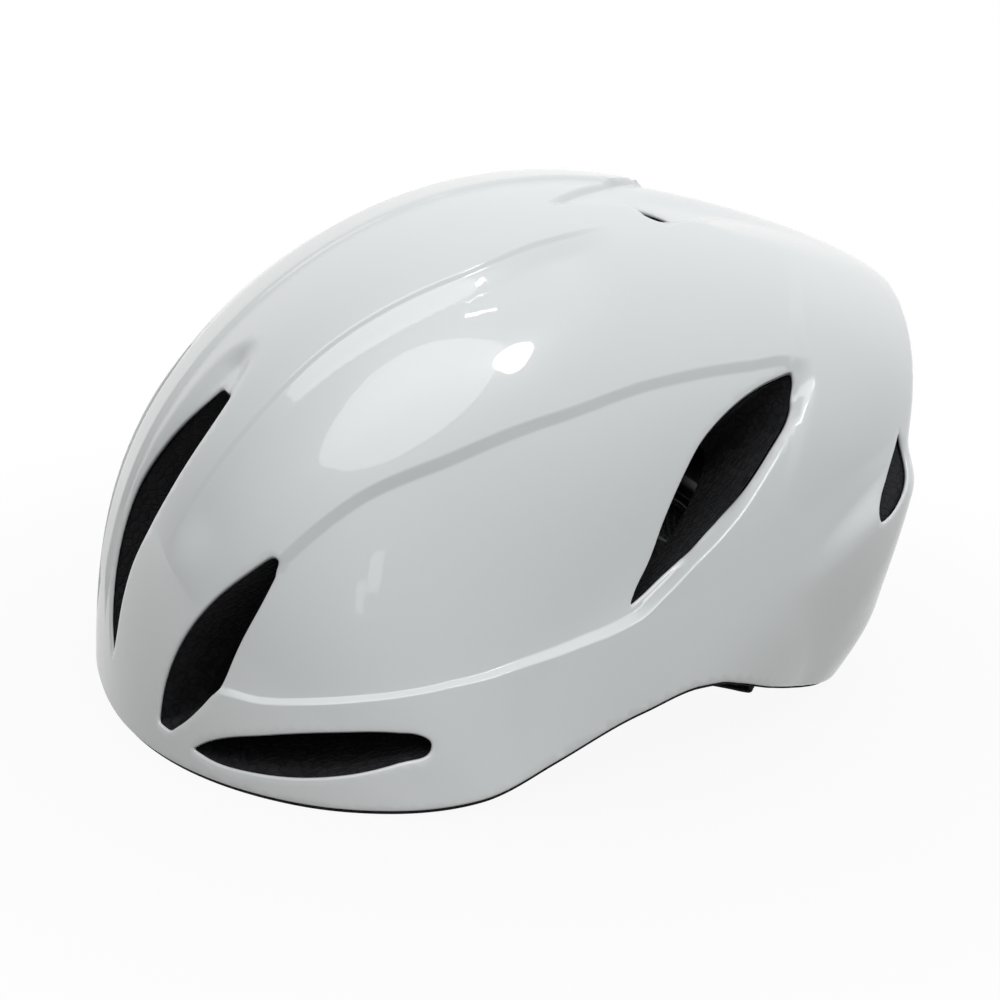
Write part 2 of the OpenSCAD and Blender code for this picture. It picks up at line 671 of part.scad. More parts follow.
module divider_body() {
    mouth_half = strap_w / 2 + fit_gap;
    mouth_high = strap_t / 2 + fit_gap;
    translate([divider_at.x, divider_at.y, floor_gap])
        difference() {
            union() {
                for (turn = [turn_to(front_slot), turn_to(rear_slot), 180])
                    divider_arm(turn, strap_w / 2 + 1.8, 0, divider_r, 0, divider_h);
                for (s = [-1, 1])
                    translate([axle_x - 3, s * (ear_half - ear_t / 2) - ear_t / 2, divider_h - 0.5])
                        cube([6, ear_t, lever_pin_d + 3]);
            }
            for (turn = [turn_to(front_slot), turn_to(rear_slot), 180])
                divider_arm(turn, mouth_half, divider_r - mouth_depth, divider_r + 1,
                    divider_h / 2 - mouth_high, divider_h / 2 + mouth_high);
            translate([axle_x, ear_half + 1, axle_z])
                rotate([90, 0, 0])
                    cylinder(d = lever_pin_d + fit_gap, h = 2 * ear_half + 2);
        }
}

module lever_body() {
    plate_half = ear_half - ear_t - fit_gap;
    plate_t = 1.8;
    hub_d = lever_pin_d + 1.2;
    translate([divider_at.x + axle_x, divider_at.y, floor_gap + axle_z]) {
        rotate([90, 0, 0])
            translate([0, 0, -ear_half + 0.2])
                cylinder(d = lever_pin_d, h = 2 * ear_half - 0.4);
        rotate([90, 0, 0])
            translate([0, 0, -plate_half])
                cylinder(d = hub_d, h = 2 * plate_half);
        translate([0, -plate_half, hub_d / 2 - plate_t]) cube([lever_l, 2 * plate_half, plate_t]);
    }
}

module strap_divider_left() {
    color(plastic) divider_body();
}

module strap_divider_right() {
    color(plastic) mirror([1, 0, 0]) divider_body();
}

module divider_lever_left() {
    color(plastic) lever_body();
}

module divider_lever_right() {
    color(plastic) mirror([1, 0, 0]) lever_body();
}

// Buckle halves joined by a T-shaped rail that runs sideways
rail_neck = 2.6;
rail_neck_h = 2.4;
rail_head = 2;
rail_head_h = 4.6;

module rail_outline(gap) {
    mid = buckle_h / 2;
    neck = rail_neck_h / 2 + gap;
    head = rail_head_h / 2 + gap;
    near = rail_neck - gap;
    far = rail_neck + rail_head + gap;
    polygon([[-1, mid - neck], [near, mid - neck], [near, mid - head], [far, mid - head],
        [far, mid + head], [near, mid + head], [near, mid + neck], [-1, mid + neck]]);
}

module across_buckle(from, to) {
    translate([from, 0, 0]) rotate([90, 0, 90]) linear_extrude(to - from) children();
}

module buckle_frame() {
    translate([buckle_x, buckle_y, floor_gap]) children();
}

stop_wall = 2;
rail_from = -buckle_w / 2 + stop_wall + fit_gap;

module strap_mouth(y) {
    translate([-strap_w / 2 - fit_gap, y, buckle_h / 2 - strap_t / 2 - fit_gap])
        cube([strap_w + 2 * fit_gap, mouth_depth + 1, strap_t + 2 * fit_gap]);
}

magnet_at = 10;

module magnet_pocket(y) {
    translate([0, y, buckle_h - magnet_t - 0.6]) cylinder(d = magnet_d + 0.2, h = magnet_t + 1);
}

module buckle_socket() {
    color(plastic) buckle_frame() difference() {
        translate([-buckle_w / 2, 0, 0]) cube([buckle_w, buckle_l, buckle_h]);
        across_buckle(-buckle_w / 2 + stop_wall, buckle_w) rail_outline(fit_gap);
        strap_mouth(buckle_l - mouth_depth);
        magnet_pocket(magnet_at);
    }
}

module buckle_hook() {
    color(plastic) buckle_frame() difference() {
        union() {
            translate([-buckle_w / 2, -buckle_l, 0]) cube([buckle_w, buckle_l - fit_gap, buckle_h]);
            across_buckle(rail_from, buckle_w / 2) rail_outline(0);
        }
        strap_mouth(-buckle_l - 1);
        magnet_pocket(-magnet_at);
    }
}

module magnet(y) {
    translate([0, y, buckle_h - magnet_t - 0.6]) cylinder(d = magnet_d, h = magnet_t);
}

module socket_magnet() {
    color(steel) buckle_frame() magnet(magnet_at);
}

module hook_magnet() {
    color(steel) buckle_frame() magnet(-magnet_at);
}

// Cradle frame: origin on the temple hinge, turned up to the stowed place
module cradle_frame() {
    translate([0, hinge_at, hinge_z]) rotate([stow_angle, 0, 0]) children();
}

// A stretch of ring about the belt's centre, its turn counted from the back towards the left
module belt_sector(r_in, r_out, low, high, turn_from, turn_to) {
    translate([0, belt_y, 0])
        rotate([0, 0, 90 - turn_to])
            rotate_extrude(angle = turn_to - turn_from)
                translate([r_in, low]) square([r_out - r_in, high - low]);
}

module at_turn(turn) {
    translate([0, belt_y, 0]) rotate([0, 0, -turn]) children();
}

wall_at_hinge = head_rx * sqrt(1 - pow((hinge_at - head_mid) / head_ry, 2) - pow(hinge_z / head_rz, 2));
flange_t = 2;
flange_from = wall_at_hinge - flange_t - 1;
barrel_l = 11;

module temple_anchor_body(grow) {
    translate([flange_from - grow, hinge_at, hinge_z])
        rotate([0, 90, 0]) {
            cylinder(d = flange_d + 2 * grow, h = flange_t + 2 * grow, $fn = 32);
            cylinder(d = temple_pin_d + 6 + 2 * grow, h = flange_t + barrel_l + 2 * grow, $fn = 32);
        }
}

pin_reach = flange_from + flange_t + 6;

module temple_anchor() {
    difference() {
        temple_anchor_body(0);
        translate([flange_from - 1, hinge_at, hinge_z])
            rotate([0, 90, 0])
                cylinder(d = temple_pin_d + run_gap, h = pin_reach - flange_from + 1.5);
    }
}

module temple_anchor_left() {
    color(plastic) temple_anchor();
}

module temple_anchor_right() {
    color(plastic) mirror([1, 0, 0]) temple_anchor();
}

// A guide loop round the belt strip, with the pin that turns in the anchor
module temple_guide() {
    wall = 1.4;
    collar_d = temple_pin_d + 3;
    difference() {
        union() {
            belt_sector(channel_in - wall, channel_out + wall, -channel_half - wall, channel_half + wall,
                guide_from, guide_to);
            translate([channel_out, 0, 0]) rotate([0, 90, 0])
                cylinder(d = collar_d, h = flange_from - fit_gap - channel_out);
            translate([channel_out, 0, 0]) rotate([0, 90, 0])
                cylinder(d = temple_pin_d, h = pin_reach - channel_out);
        }
        belt_sector(channel_in, channel_out, -channel_half, channel_half, guide_from - 2, guide_to + 2);
    }
}

module temple_guide_left() {
    color(plastic) cradle_frame() temple_guide();
}

module temple_guide_right() {
    color(plastic) cradle_frame() mirror([1, 0, 0]) temple_guide();
}

// One rack tooth on the strip's edge, pointing down at the pinion
// The teeth stand back a little from both faces of the strip
tooth_inset = 0.2;

module rack_tooth(turn) {
    half = 0.21 * tooth_pitch;
    slope = tan(20);
    at_turn(turn)
        translate([0, strip_out - tooth_inset, 0])
            rotate([90, 0, 0])
                linear_extrude(belt_t - 2 * tooth_inset)
                    polygon([[-half - tooth_foot * slope, pinion_r + tooth_foot + 0.2],
                        [-half + tooth_top * slope, pinion_r - tooth_top],
                        [half - tooth_top * slope, pinion_r - tooth_top],
                        [half + tooth_foot * slope, pinion_r + tooth_foot + 0.2]]);
}

// The left strip has its rack over the pinion; the right one is the same, turned over
module belt_arm() {
    slot_half = 2.4;
    first = ceil(-rack_tip / tooth_turn);
    last = floor((arm_turn + rack_tip) / tooth_turn);
    difference() {
        belt_sector(strip_in, strip_out, -belt_h / 2, belt_h / 2, -rack_tip, arm_end);
        belt_sector(strip_in - 1, strip_out + 1, -belt_h, pinion_r + tooth_foot, -rack_tip - 1, rack_root);
        belt_sector(strip_in - 1, strip_out + 1, -slot_half, slot_half, rack_root + 14, rack_root + 50);
    }
    for (k = [first:last]) rack_tooth((k + 0.5) * tooth_turn);
}

module belt_arm_left() {
    color(plastic) cradle_frame() belt_arm();
}

module belt_arm_right() {
    color(plastic) cradle_frame() rotate([0, 180, 0]) belt_arm();
}

screw_turn = 18.5;
screw_z = (channel_half + housing_half) / 2;

module at_screws() {
    for (turn = [-screw_turn, screw_turn], z = [-screw_z, screw_z])
        at_turn(turn) translate([0, cover_in, z]) rotate([-90, 0, 0]) children();
}

shaft_d = 5;

module dial_housing() {
    color(plastic) cradle_frame() difference() {
        belt_sector(cover_out, housing_out, -housing_half, housing_half, -housing_side, housing_side);
        belt_sector(cover_out - 1, channel_out, -channel_half, channel_half,
            -housing_side - 2, housing_side + 2);
        translate([0, belt_y + belt_r, 0]) rotate([-90, 0, 0]) cylinder(d = shaft_d + run_gap, h = 20);
        at_screws() cylinder(d = screw_d + 0.1, h = cover_t + 3);
    }
}

head_sink = 0.8;

module dial_cover() {
    color(plastic) cradle_frame() difference() {
        belt_sector(cover_in, cover_out, -housing_half, housing_half, -housing_side, housing_side);
        at_screws() translate([0, 0, -1]) cylinder(d = screw_d + 0.2, h = cover_t + 2);
        at_screws() translate([0, 0, -1]) cylinder(d = 2 * screw_d + 0.2, h = head_sink + 1.1);
    }
}

module cover_screws() {
    color(steel) cradle_frame() at_screws() {
        translate([0, 0, 0.1]) cylinder(d = 2 * screw_d, h = head_sink);
        translate([0, 0, 0.1]) cylinder(d = screw_d, h = cover_t + 2.5);
    }
}

// Pinion with a hub that carries the knob
module pinion_outline() {
    root_r = pinion_r - tooth_foot;
    tip_r = pinion_r + tooth_top;
    tooth = [[root_r, -13.6], [tip_r, -4.6], [tip_r, 4.6], [root_r, 13.6]];
    polygon([for (i = [0:pinion_teeth - 1]) for (k = tooth)
        let (w = 360 / pinion_teeth * i + k[1]) k[0] * [cos(w), sin(w)]]);
}

bore = 2.8;
pinion_t = 1.6;

module dial_pinion() {
    color(plastic) cradle_frame()
        translate([0, belt_y + belt_r - pinion_t / 2, 0])
            rotate([-90, 0, 0])
                difference() {
                    union() {
                        linear_extrude(pinion_t) pinion_outline();
                        cylinder(d = shaft_d, h = housing_out - belt_r + pinion_t / 2 + 0.2);
                    }
                    translate([-bore / 2, -bore / 2, -1]) cube([bore, bore, 20]);
                }
}

module dial_knob() {
    rim = 2;
    top = 2.4;
    peg = bore - fit_gap;
    peg_l = knob_from + knob_h - top - belt_y - belt_r - 0.6;
    color(plastic) cradle_frame() translate([0, knob_from, 0]) rotate([-90, 0, 0]) {
        difference() {
            cylinder(d = knob_d, h = knob_h);
            translate([0, 0, -1]) cylinder(d = knob_d - 2 * rim - 1.6, h = knob_h - top + 1);
            for (i = [0:knob_flutes - 1])
                rotate([0, 0, 360 / knob_flutes * i])
                    translate([knob_d / 2 + 1.2, 0, -1])
                        cylinder(d = 4, h = knob_h + 2);
        }
        translate([-peg / 2, -peg / 2, knob_h - top - peg_l]) cube([peg, peg, peg_l + 0.5]);
    }
}

// A ring with two arms whose tips click along the knob's inner wall
module click_spring() {
    ring_d = shaft_d + 1.4;
    arm_reach = knob_d / 2 - 3.4;
    color(steel) cradle_frame() translate([0, belt_y + housing_out + 0.2, 0]) rotate([-90, 0, 0])
        difference() {
            union() {
                cylinder(d = ring_d + 3.6, h = 1.2);
                for (s = [0, 180]) rotate([0, 0, s]) {
                    translate([ring_d / 2 - 0.2, -1.2, 0]) cube([arm_reach - ring_d / 2, 2.4, 1.2]);
                    translate([arm_reach - 0.8, 0, 0]) cylinder(d = 2.6, h = 1.2);
                }
            }
            translate([0, 0, -1]) cylinder(d = ring_d, h = 4);
        }
}

module nape_pad() {
    r_out = cover_in - 0.2;
    half = housing_half - 1;
    round_r = nape_pad_t * 0.6;
    corner = [r_out - nape_pad_t + round_r, half - round_r];
    color(pad_grey) cradle_frame() translate([0, belt_y, 0]) rotate([0, 0, 90 - housing_side + 2])
        rotate_extrude(angle = 2 * housing_side - 4)
            polygon(concat([[r_out, -half], [r_out, half]],
                [for (t = [0:15:90]) [corner.x - round_r * sin(t), corner.y + round_r * cos(t)]],
                [for (t = [0:15:90]) [corner.x - round_r * cos(t), -corner.y - round_r * sin(t)]]));
}

// Height tongue: an arc about the temple hinge, joined to the top of the housing
tongue_foot = 15;
tongue_top = 40;

module tongue_outline() {
    back_y = belt_y + housing_out - 1;
    step_z = knob_d / 2 + 2;
    r_out = tongue_r + tongue_t / 2;
    r_in = tongue_r - tongue_t / 2;
    polygon(concat([[belt_y + cover_out, housing_half], [back_y, housing_half], [back_y, step_z]],
        [for (t = [tongue_foot:2.5:tongue_top]) r_out * [cos(t), sin(t)]],
        [for (t = [tongue_top:-2.5:tongue_foot]) r_in * [cos(t), sin(t)]],
        [[back_y - tongue_t, step_z + 1], [back_y - tongue_t, housing_half + tongue_t],
         [belt_y + cover_out, housing_half + tongue_t]]));
}

module height_tongue() {
    color(plastic) cradle_frame() difference() {
        translate([-tongue_w / 2, 0, 0]) rotate([90, 0, 90]) linear_extrude(tongue_w) tongue_outline();
        for (t = [22:4:34])
            rotate([t, 0, 0])
                translate([0, tongue_r - 5, 0])
                    rotate([-90, 90, 0])
                        cylinder(d = notch_d, h = 10);
    }
}

// Clip in the foam that the tongue slides through
clip_from = 34;
clip_to = 44;
clip_base = 5.2;

module hinge_sector(turn_from, turn_to) {
    translate([0, hinge_at, hinge_z]) rotate([0, 90, 0]) rotate([0, 0, 90 + turn_from])
        rotate_extrude(angle = turn_to - turn_from) children();
}

module clip_outline() {
    in_half = tongue_w / 2 + run_gap;
    out_half = in_half + clip_wall;
    lip = 3;
    r_in = tongue_r - tongue_t / 2 - run_gap;
    r_out = tongue_r + tongue_t / 2 + run_gap;
    polygon([[r_out + clip_base - run_gap, -out_half], [r_out + clip_base - run_gap, out_half],
        [r_in - 1.4, out_half], [r_in - 1.4, in_half - lip], [r_in, in_half - lip], [r_in, in_half],
        [r_out, in_half], [r_out, -in_half], [r_in, -in_half], [r_in, -in_half + lip],
        [r_in - 1.4, -in_half + lip], [r_in - 1.4, -out_half]]);
}

module height_clip() {
    color(plastic) hinge_sector(clip_from, clip_to) clip_outline();
}

module clip_space() {
    half = tongue_w / 2 + run_gap + clip_wall + fit_gap;
    reach = tongue_r + tongue_t / 2 + clip_base + fit_gap;
    margin = 0.3;
    hinge_sector(clip_from - margin, clip_to + margin)
        translate([tongue_r - 10, -half]) square([reach - tongue_r + 10, 2 * half]);
}

outer_shell();
foam_liner();
brow_pad();
crown_pad();
side_pad_left();
side_pad_right();
hook_discs();
strap_anchor_front_left();
strap_anchor_front_right();
strap_anchor_rear_left();
strap_anchor_rear_right();
front_strap_left();
front_strap_right();
rear_strap_left();
rear_strap_right();
chin_strap_left();
chin_strap_right();
strap_divider_left();
strap_divider_right();
divider_lever_left();
divider_lever_right();
buckle_socket();
buckle_hook();
socket_magnet();
hook_magnet();
temple_anchor_left();
temple_anchor_right();
temple_guide_left();
temple_guide_right();
belt_arm_left();
belt_arm_right();
dial_housing();
dial_cover();
cover_screws();
dial_knob();
dial_pinion();
click_spring();
nape_pad();
height_tongue();
height_clip();
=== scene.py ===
"""Road bike helmet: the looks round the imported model.

Sizes are in millimetres and become metres where a mesh is made.
"""

import json
import math

import bmesh
import bpy
import numpy as np
from mathutils import Matrix, Vector
from mathutils.geometry import delaunay_2d_cdt
from mathutils.kdtree import KDTree


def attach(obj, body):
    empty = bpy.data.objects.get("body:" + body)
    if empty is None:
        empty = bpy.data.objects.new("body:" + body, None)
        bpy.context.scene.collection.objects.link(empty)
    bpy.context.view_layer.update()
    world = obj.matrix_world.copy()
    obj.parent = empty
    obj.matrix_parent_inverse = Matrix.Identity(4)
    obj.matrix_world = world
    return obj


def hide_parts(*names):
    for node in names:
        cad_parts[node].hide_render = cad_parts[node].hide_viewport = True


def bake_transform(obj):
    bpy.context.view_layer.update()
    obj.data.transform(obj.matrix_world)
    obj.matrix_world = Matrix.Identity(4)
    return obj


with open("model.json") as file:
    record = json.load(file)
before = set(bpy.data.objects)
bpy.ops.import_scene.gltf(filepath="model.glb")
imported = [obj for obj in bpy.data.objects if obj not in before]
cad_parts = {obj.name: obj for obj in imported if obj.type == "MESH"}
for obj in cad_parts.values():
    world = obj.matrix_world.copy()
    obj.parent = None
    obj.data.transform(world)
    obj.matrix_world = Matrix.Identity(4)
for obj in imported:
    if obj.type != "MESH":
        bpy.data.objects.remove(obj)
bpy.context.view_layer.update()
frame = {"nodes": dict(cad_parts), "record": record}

MM = 0.001
nodes = frame["nodes"]
scene = bpy.context.scene

# Camera, set to the photograph's view

LENS = 59.04
EYE_TURN, EYE_RISE, EYE_AWAY, EYE_ROLL = 69.0, 18.4, 565.0, 2.9
LOOK_AT = np.array([0, -1.2, 55.0])


def eye_axes():
    """The camera's right, up and back directions."""
    turn, rise, roll = (math.radians(x) for x in (EYE_TURN, EYE_RISE, EYE_ROLL))
    back = np.array([math.sin(turn) * math.cos(rise), -math.cos(turn) * math.cos(rise), math.sin(rise)])
    right = np.cross([0, 0, 1], back)
    right /= np.linalg.norm(right)
    up = np.cross(back, right)
    c, s = math.cos(roll), math.sin(roll)
    return c * right + s * up, c * up - s * right, back


def make_camera():
    right, up, back = eye_axes()
    lens = bpy.data.cameras.new("Camera")
    lens.lens, lens.sensor_width, lens.clip_start, lens.clip_end = LENS, 36, 0.02, 50
    camera = bpy.data.objects.new("Camera", lens)
    scene.collection.objects.link(camera)
    place = Matrix(np.column_stack([right, up, back]).tolist()).to_4x4()
    place.translation = Vector((LOOK_AT + EYE_AWAY * back) * MM)
    camera.matrix_world = place
    scene.camera = camera


# Shaders

def add_node(tree, kind, inputs=None, **settings):
    """A node with its settings and inputs: an input given as a socket is linked, any other value is set."""
    node = tree.nodes.new(kind)
    for key, value in settings.items():
        setattr(node, key, value)
    for key, value in (inputs or {}).items():
        if isinstance(value, bpy.types.NodeSocket):
            tree.links.new(value, node.inputs[key])
        else:
            node.inputs[key].default_value = value
    return node


class Finish:
    """A material under construction: nodes are added by kind, with their sockets set by name."""

    def __init__(self, name, colour, roughness, **sockets):
        self.material = bpy.data.materials.new(name)
        self.material.use_nodes = True
        self.tree = self.material.node_tree
        self.shader = self.tree.nodes["Principled BSDF"]
        self.shader.inputs["Base Color"].default_value = (*colour, 1)
        self.shader.inputs["Roughness"].default_value = roughness
        for key, value in sockets.items():
            self.shader.inputs[key.replace("_", " ")].default_value = value
        self.place = self.add("ShaderNodeTexCoord").outputs["Object"]

    def add(self, kind, inputs=None, **settings):
        return add_node(self.tree, kind, inputs, **settings)

    def noise(self, scale, detail=3.0, rough=0.5, at=None):
        return self.add("ShaderNodeTexNoise", {"Vector": at or self.place, "Scale": scale, "Detail": detail,
                                               "Roughness": rough}).outputs["Fac"]

    def cells(self, scale, feature="F1", out="Distance", at=None, randomness=1.0):
        return self.add("ShaderNodeTexVoronoi", {"Vector": at or self.place, "Scale": scale,
                                                 "Randomness": randomness}, feature=feature).outputs[out]

    def wave(self, at, scale, bands, **inputs):
        """Bands across a direction, at a scale, with more inputs by name."""
        sockets = {key.replace("_", " "): value for key, value in inputs.items()}
        return self.add("ShaderNodeTexWave", {"Vector": at, "Scale": scale, **sockets},
                        bands_direction=bands).outputs["Fac"]

    def cloth_place(self):
        return self.add("ShaderNodeUVMap", uv_map="UVMap").outputs["UV"]

    def turned(self, at, degrees):
        rotation = (0, 0, math.radians(degrees))
        return self.add("ShaderNodeMapping", {"Vector": at, "Rotation": rotation}).outputs["Vector"]

    def range(self, value, low, high, to_low=0.0, to_high=1.0):
        return self.add("ShaderNodeMapRange", {"Value": value, "From Min": low, "From Max": high,
                                               "To Min": to_low, "To Max": to_high}).outputs["Result"]

    def math(self, operation, one, two=0.0):
        return self.add("ShaderNodeMath", {0: one, 1: two}, operation=operation).outputs[0]

    def blend(self, share, one, two):
        node = self.add("ShaderNodeMix", {"Factor": share}, data_type="RGBA")
        for socket, value in ((node.inputs[6], one), (node.inputs[7], two)):
            if isinstance(value, bpy.types.NodeSocket):
                self.tree.links.new(value, socket)
            else:
                socket.default_value = (*value, 1)
        return node.outputs[2]

    def bump(self, height, distance, strength=1.0, under=None):
        inputs = {"Height": height, "Distance": distance, "Strength": strength}
        if under is not None:
            inputs["Normal"] = under
        return self.add("ShaderNodeBump", inputs).outputs["Normal"]

    def soft_edges(self, radius):
        return self.add("ShaderNodeBevel", {"Radius": radius}, samples=4).outputs["Normal"]

    def feed(self, **sockets):
        for key, value in sockets.items():
            self.tree.links.new(value, self.shader.inputs[key.replace("_", " ")])
        return self.material


def white_clearcoat():
    f = Finish("white shell under clear coat", (0.80, 0.812, 0.815), 0.3, Coat_Weight=1.0,
               Coat_Roughness=0.025, Coat_IOR=1.5, Specular_IOR_Level=0.5)
    flow = f.noise(14, 2)
    peel = f.noise(240, 2, 0.4)
    dust = f.range(f.cells(900), 0.0, 0.09, 1.0, 0.0)
    rare = f.range(f.noise(45, 2), 0.62, 0.72)
    speck = f.math("MULTIPLY", f.math("MULTIPLY", dust, rare), 0.18)
    tone = f.blend(speck, f.blend(flow, (0.79, 0.805, 0.805), (0.81, 0.822, 0.824)), (0.5, 0.5, 0.49))
    return f.feed(Base_Color=tone, Coat_Normal=f.bump(peel, 0.00003, 0.4))


def black_foam():
    f = Finish("black expanded foam", (0.012, 0.012, 0.014), 0.8, Specular_IOR_Level=0.35, Sheen_Weight=0.1,
               Sheen_Roughness=0.3)
    seam = f.range(f.cells(360, "DISTANCE_TO_EDGE"), 0.0, 0.12)
    bead = f.add("ShaderNodeTexVoronoi", {"Vector": f.place, "Scale": 360.0}).outputs["Color"]
    grey = f.add("ShaderNodeSeparateColor", {"Color": bead}).outputs[0]
    pores = f.noise(1500, 3, 0.6)
    tone = f.blend(grey, (0.009, 0.009, 0.011), (0.020, 0.020, 0.023))
    tone = f.blend(f.math("SUBTRACT", 1.0, seam), tone, (0.005, 0.005, 0.006))
    height = f.math("ADD", seam, f.math("MULTIPLY", pores, 0.35))
    rough = f.range(grey, 0.0, 1.0, 0.68, 0.88)
    return f.feed(Base_Color=tone, Roughness=rough, Normal=f.bump(height, 0.00025, 0.7))


def pad_fabric():
    f = Finish("brushed knit", (0.020, 0.020, 0.023), 0.92, Sheen_Weight=0.35, Sheen_Roughness=0.4,
               Specular_IOR_Level=0.2)
    uv = f.cloth_place()
    across = f.wave(uv, 220.0, "X", Distortion=0.6, Detail=1.0, Detail_Scale=2.0)
    along = f.wave(uv, 150.0, "Y", Distortion=0.8, Detail=1.0, Detail_Scale=2.0)
    knit = f.math("MULTIPLY", across, along)
    fuzz = f.noise(2600, 4, 0.7)
    worn = f.noise(60, 3)
    tone = f.blend(knit, (0.012, 0.012, 0.014), (0.034, 0.034, 0.038))
    tone = f.blend(f.range(worn, 0.45, 0.7, 0.0, 0.35), tone, (0.042, 0.042, 0.045))
    height = f.math("ADD", knit, f.math("MULTIPLY", fuzz, 0.5))
    return f.feed(Base_Color=tone, Normal=f.bump(height, 0.00022, 0.8))


def hook_tape():
    f = Finish("hook tape", (0.02, 0.02, 0.02), 0.6, Specular_IOR_Level=0.4)
    hooks = f.cells(1100, randomness=0.35)
    return f.feed(Base_Color=f.blend(hooks, (0.035, 0.035, 0.036), (0.008, 0.008, 0.008)),
                  Normal=f.bump(f.math("SUBTRACT", 1.0, hooks), 0.0004, 0.9))


def webbing():
    f = Finish("flat woven webbing", (0.016, 0.016, 0.018), 0.7, Sheen_Weight=0.2, Sheen_Roughness=0.35,
               Specular_IOR_Level=0.35)
    uv = f.cloth_place()
    ribs, twill = (f.wave(f.turned(uv, lean), 190.0, "X") for lean in (32, -32))
    side = f.add("ShaderNodeSeparateXYZ", {"Vector": uv}).outputs["Y"]
    half = f.range(f.wave(uv, 42.0, "Y"), 0.45, 0.55)
    weave = f.add("ShaderNodeMix", {"Factor": half, 2: ribs, 3: twill}, data_type="FLOAT").outputs[0]
    edge = f.range(f.math("ABSOLUTE", side), 0.0062, 0.0066)
    tone = f.blend(weave, (0.010, 0.010, 0.011), (0.030, 0.030, 0.033))
    tone = f.blend(f.math("MULTIPLY", edge, 0.5), tone, (0.008, 0.008, 0.009))
    fuzz = f.noise(3000, 3, 0.6)
    height = f.math("ADD", weave, f.math("MULTIPLY", fuzz, 0.3))
    return f.feed(Base_Color=tone, Normal=f.bump(height, 0.0003, 0.9))


def moulded(name, colour, light, rough_low, rough_high, grain, depth, edge=0.0004, **sockets):
    """Moulded plastic: spark texture, soft edges, faint wear where hands rub."""
    f = Finish(name, colour, rough_low, Specular_IOR_Level=0.45, **sockets)
    cloud = f.noise(90, 3)
    fine = f.noise(grain, 2, 0.6)
    rub = f.range(f.noise(260, 4, 0.7), 0.6, 0.75)
    tone = f.blend(f.math("MULTIPLY", rub, 0.35), f.blend(cloud, colour, light), light)
    return f.feed(Base_Color=tone, Roughness=f.range(cloud, 0.3, 0.7, rough_low, rough_high),
                  Normal=f.bump(fine, depth, 0.6, f.soft_edges(edge)))


def plated(name, colour, rough, brushed):
    f = Finish(name, colour, rough, Metallic=1.0)
    stretched = f.add("ShaderNodeMapping", {"Vector": f.place, "Scale": (1, 1, brushed)}).outputs["Vector"]
    lines = f.noise(700, 4, 0.6, stretched)
    stain = f.noise(200, 3)
    tone = f.blend(f.range(stain, 0.4, 0.7), colour, tuple(c * 0.82 for c in colour))
    return f.feed(Base_Color=tone, Roughness=f.range(lines, 0.3, 0.7, rough, rough + 0.14),
                  Normal=f.bump(lines, 0.00003, 0.5, f.soft_edges(0.0002)))


def stitch_thread():
    f = Finish("stitch thread", (0.05, 0.05, 0.055), 0.6, Sheen_Weight=0.3)
    twist = f.wave(f.place, 900.0, "DIAGONAL")
    return f.feed(Base_Color=f.blend(twist, (0.03, 0.03, 0.033), (0.075, 0.075, 0.08)),
                  Normal=f.bump(twist, 0.0001, 0.6))


finishes = {
    "gloss_white": white_clearcoat(),
    "foam_black": black_foam(),
    "pad_cloth": pad_fabric(),
    "hook_tape": hook_tape(),
    "webbing": webbing(),
    "moulded_black": moulded("moulded black", (0.016, 0.016, 0.018), (0.026, 0.026, 0.028), 0.42, 0.55,
                             2400, 0.00006),
    "nylon_black": moulded("satin nylon", (0.014, 0.014, 0.016), (0.022, 0.022, 0.025), 0.28, 0.42,
                           1200, 0.00002),
    "knob_black": moulded("soft touch overmould", (0.018, 0.018, 0.02), (0.03, 0.03, 0.032), 0.62, 0.75,
                          3200, 0.00005, 0.0006, Sheen_Weight=0.15),
    "magnet_steel": plated("plated magnet", (0.62, 0.63, 0.65), 0.18, 0.2),
    "screw_steel": plated("plated screw", (0.5, 0.5, 0.52), 0.24, 0.3),
    "spring_steel": plated("bright spring steel", (0.6, 0.6, 0.6), 0.2, 0.05),
}
thread = stitch_thread()


# The fan surface: the shell's outer form as a chart
# Angle a runs over the crown from the front, angle b runs sideways, both in degrees from the fan's centre

front_reach, rear_reach, crown_height, half_width = 144.0, 138.0, 168.0, 111.0
tail_reach, tail_lean, tail_blend, tail_wrap = 125.0, 0.04, 4.0, 1.0
fan_z, ear_y = -40.0, 4.8
fan_centre = np.array([0, ear_y, fan_z])
shell_t, shell_gap, rim_lip = 1.2, 0.3, 1.5
profile_k = np.array([0.93, 0.975, 0.985, 1, 1.045, 1.072, 1.034, 0.995, 0.978, 1.02, 1.165, 1.38, 1.15, 0.92,
                      0.78, 0.65])
width_k = np.array([0.99, 1.035, 1.08, 1.11, 1.1, 1.055, 1, 0.967, 0.944, 0.94, 0.915, 0.83, 0.73, 0.68, 0.68,
                    0.68])
roundness, roundness_fall = 2.33, 0.0018
band_b = 2.3


def ease(t):
    u = np.clip(t, 0, 1)
    return u * u * (3 - 2 * u)


def mix(p, q, t):
    return p + (q - p) * t


def hermite(u, p, q, h, leaving, arriving):
    """A smooth step from p to q over a length h, with the slopes at both ends."""
    return ((1 + 2 * u) * (1 - u) ** 2 * p + u * (1 - u) ** 2 * h * leaving
            + u * u * (3 - 2 * u) * q + u * u * (u - 1) * h * arriving)


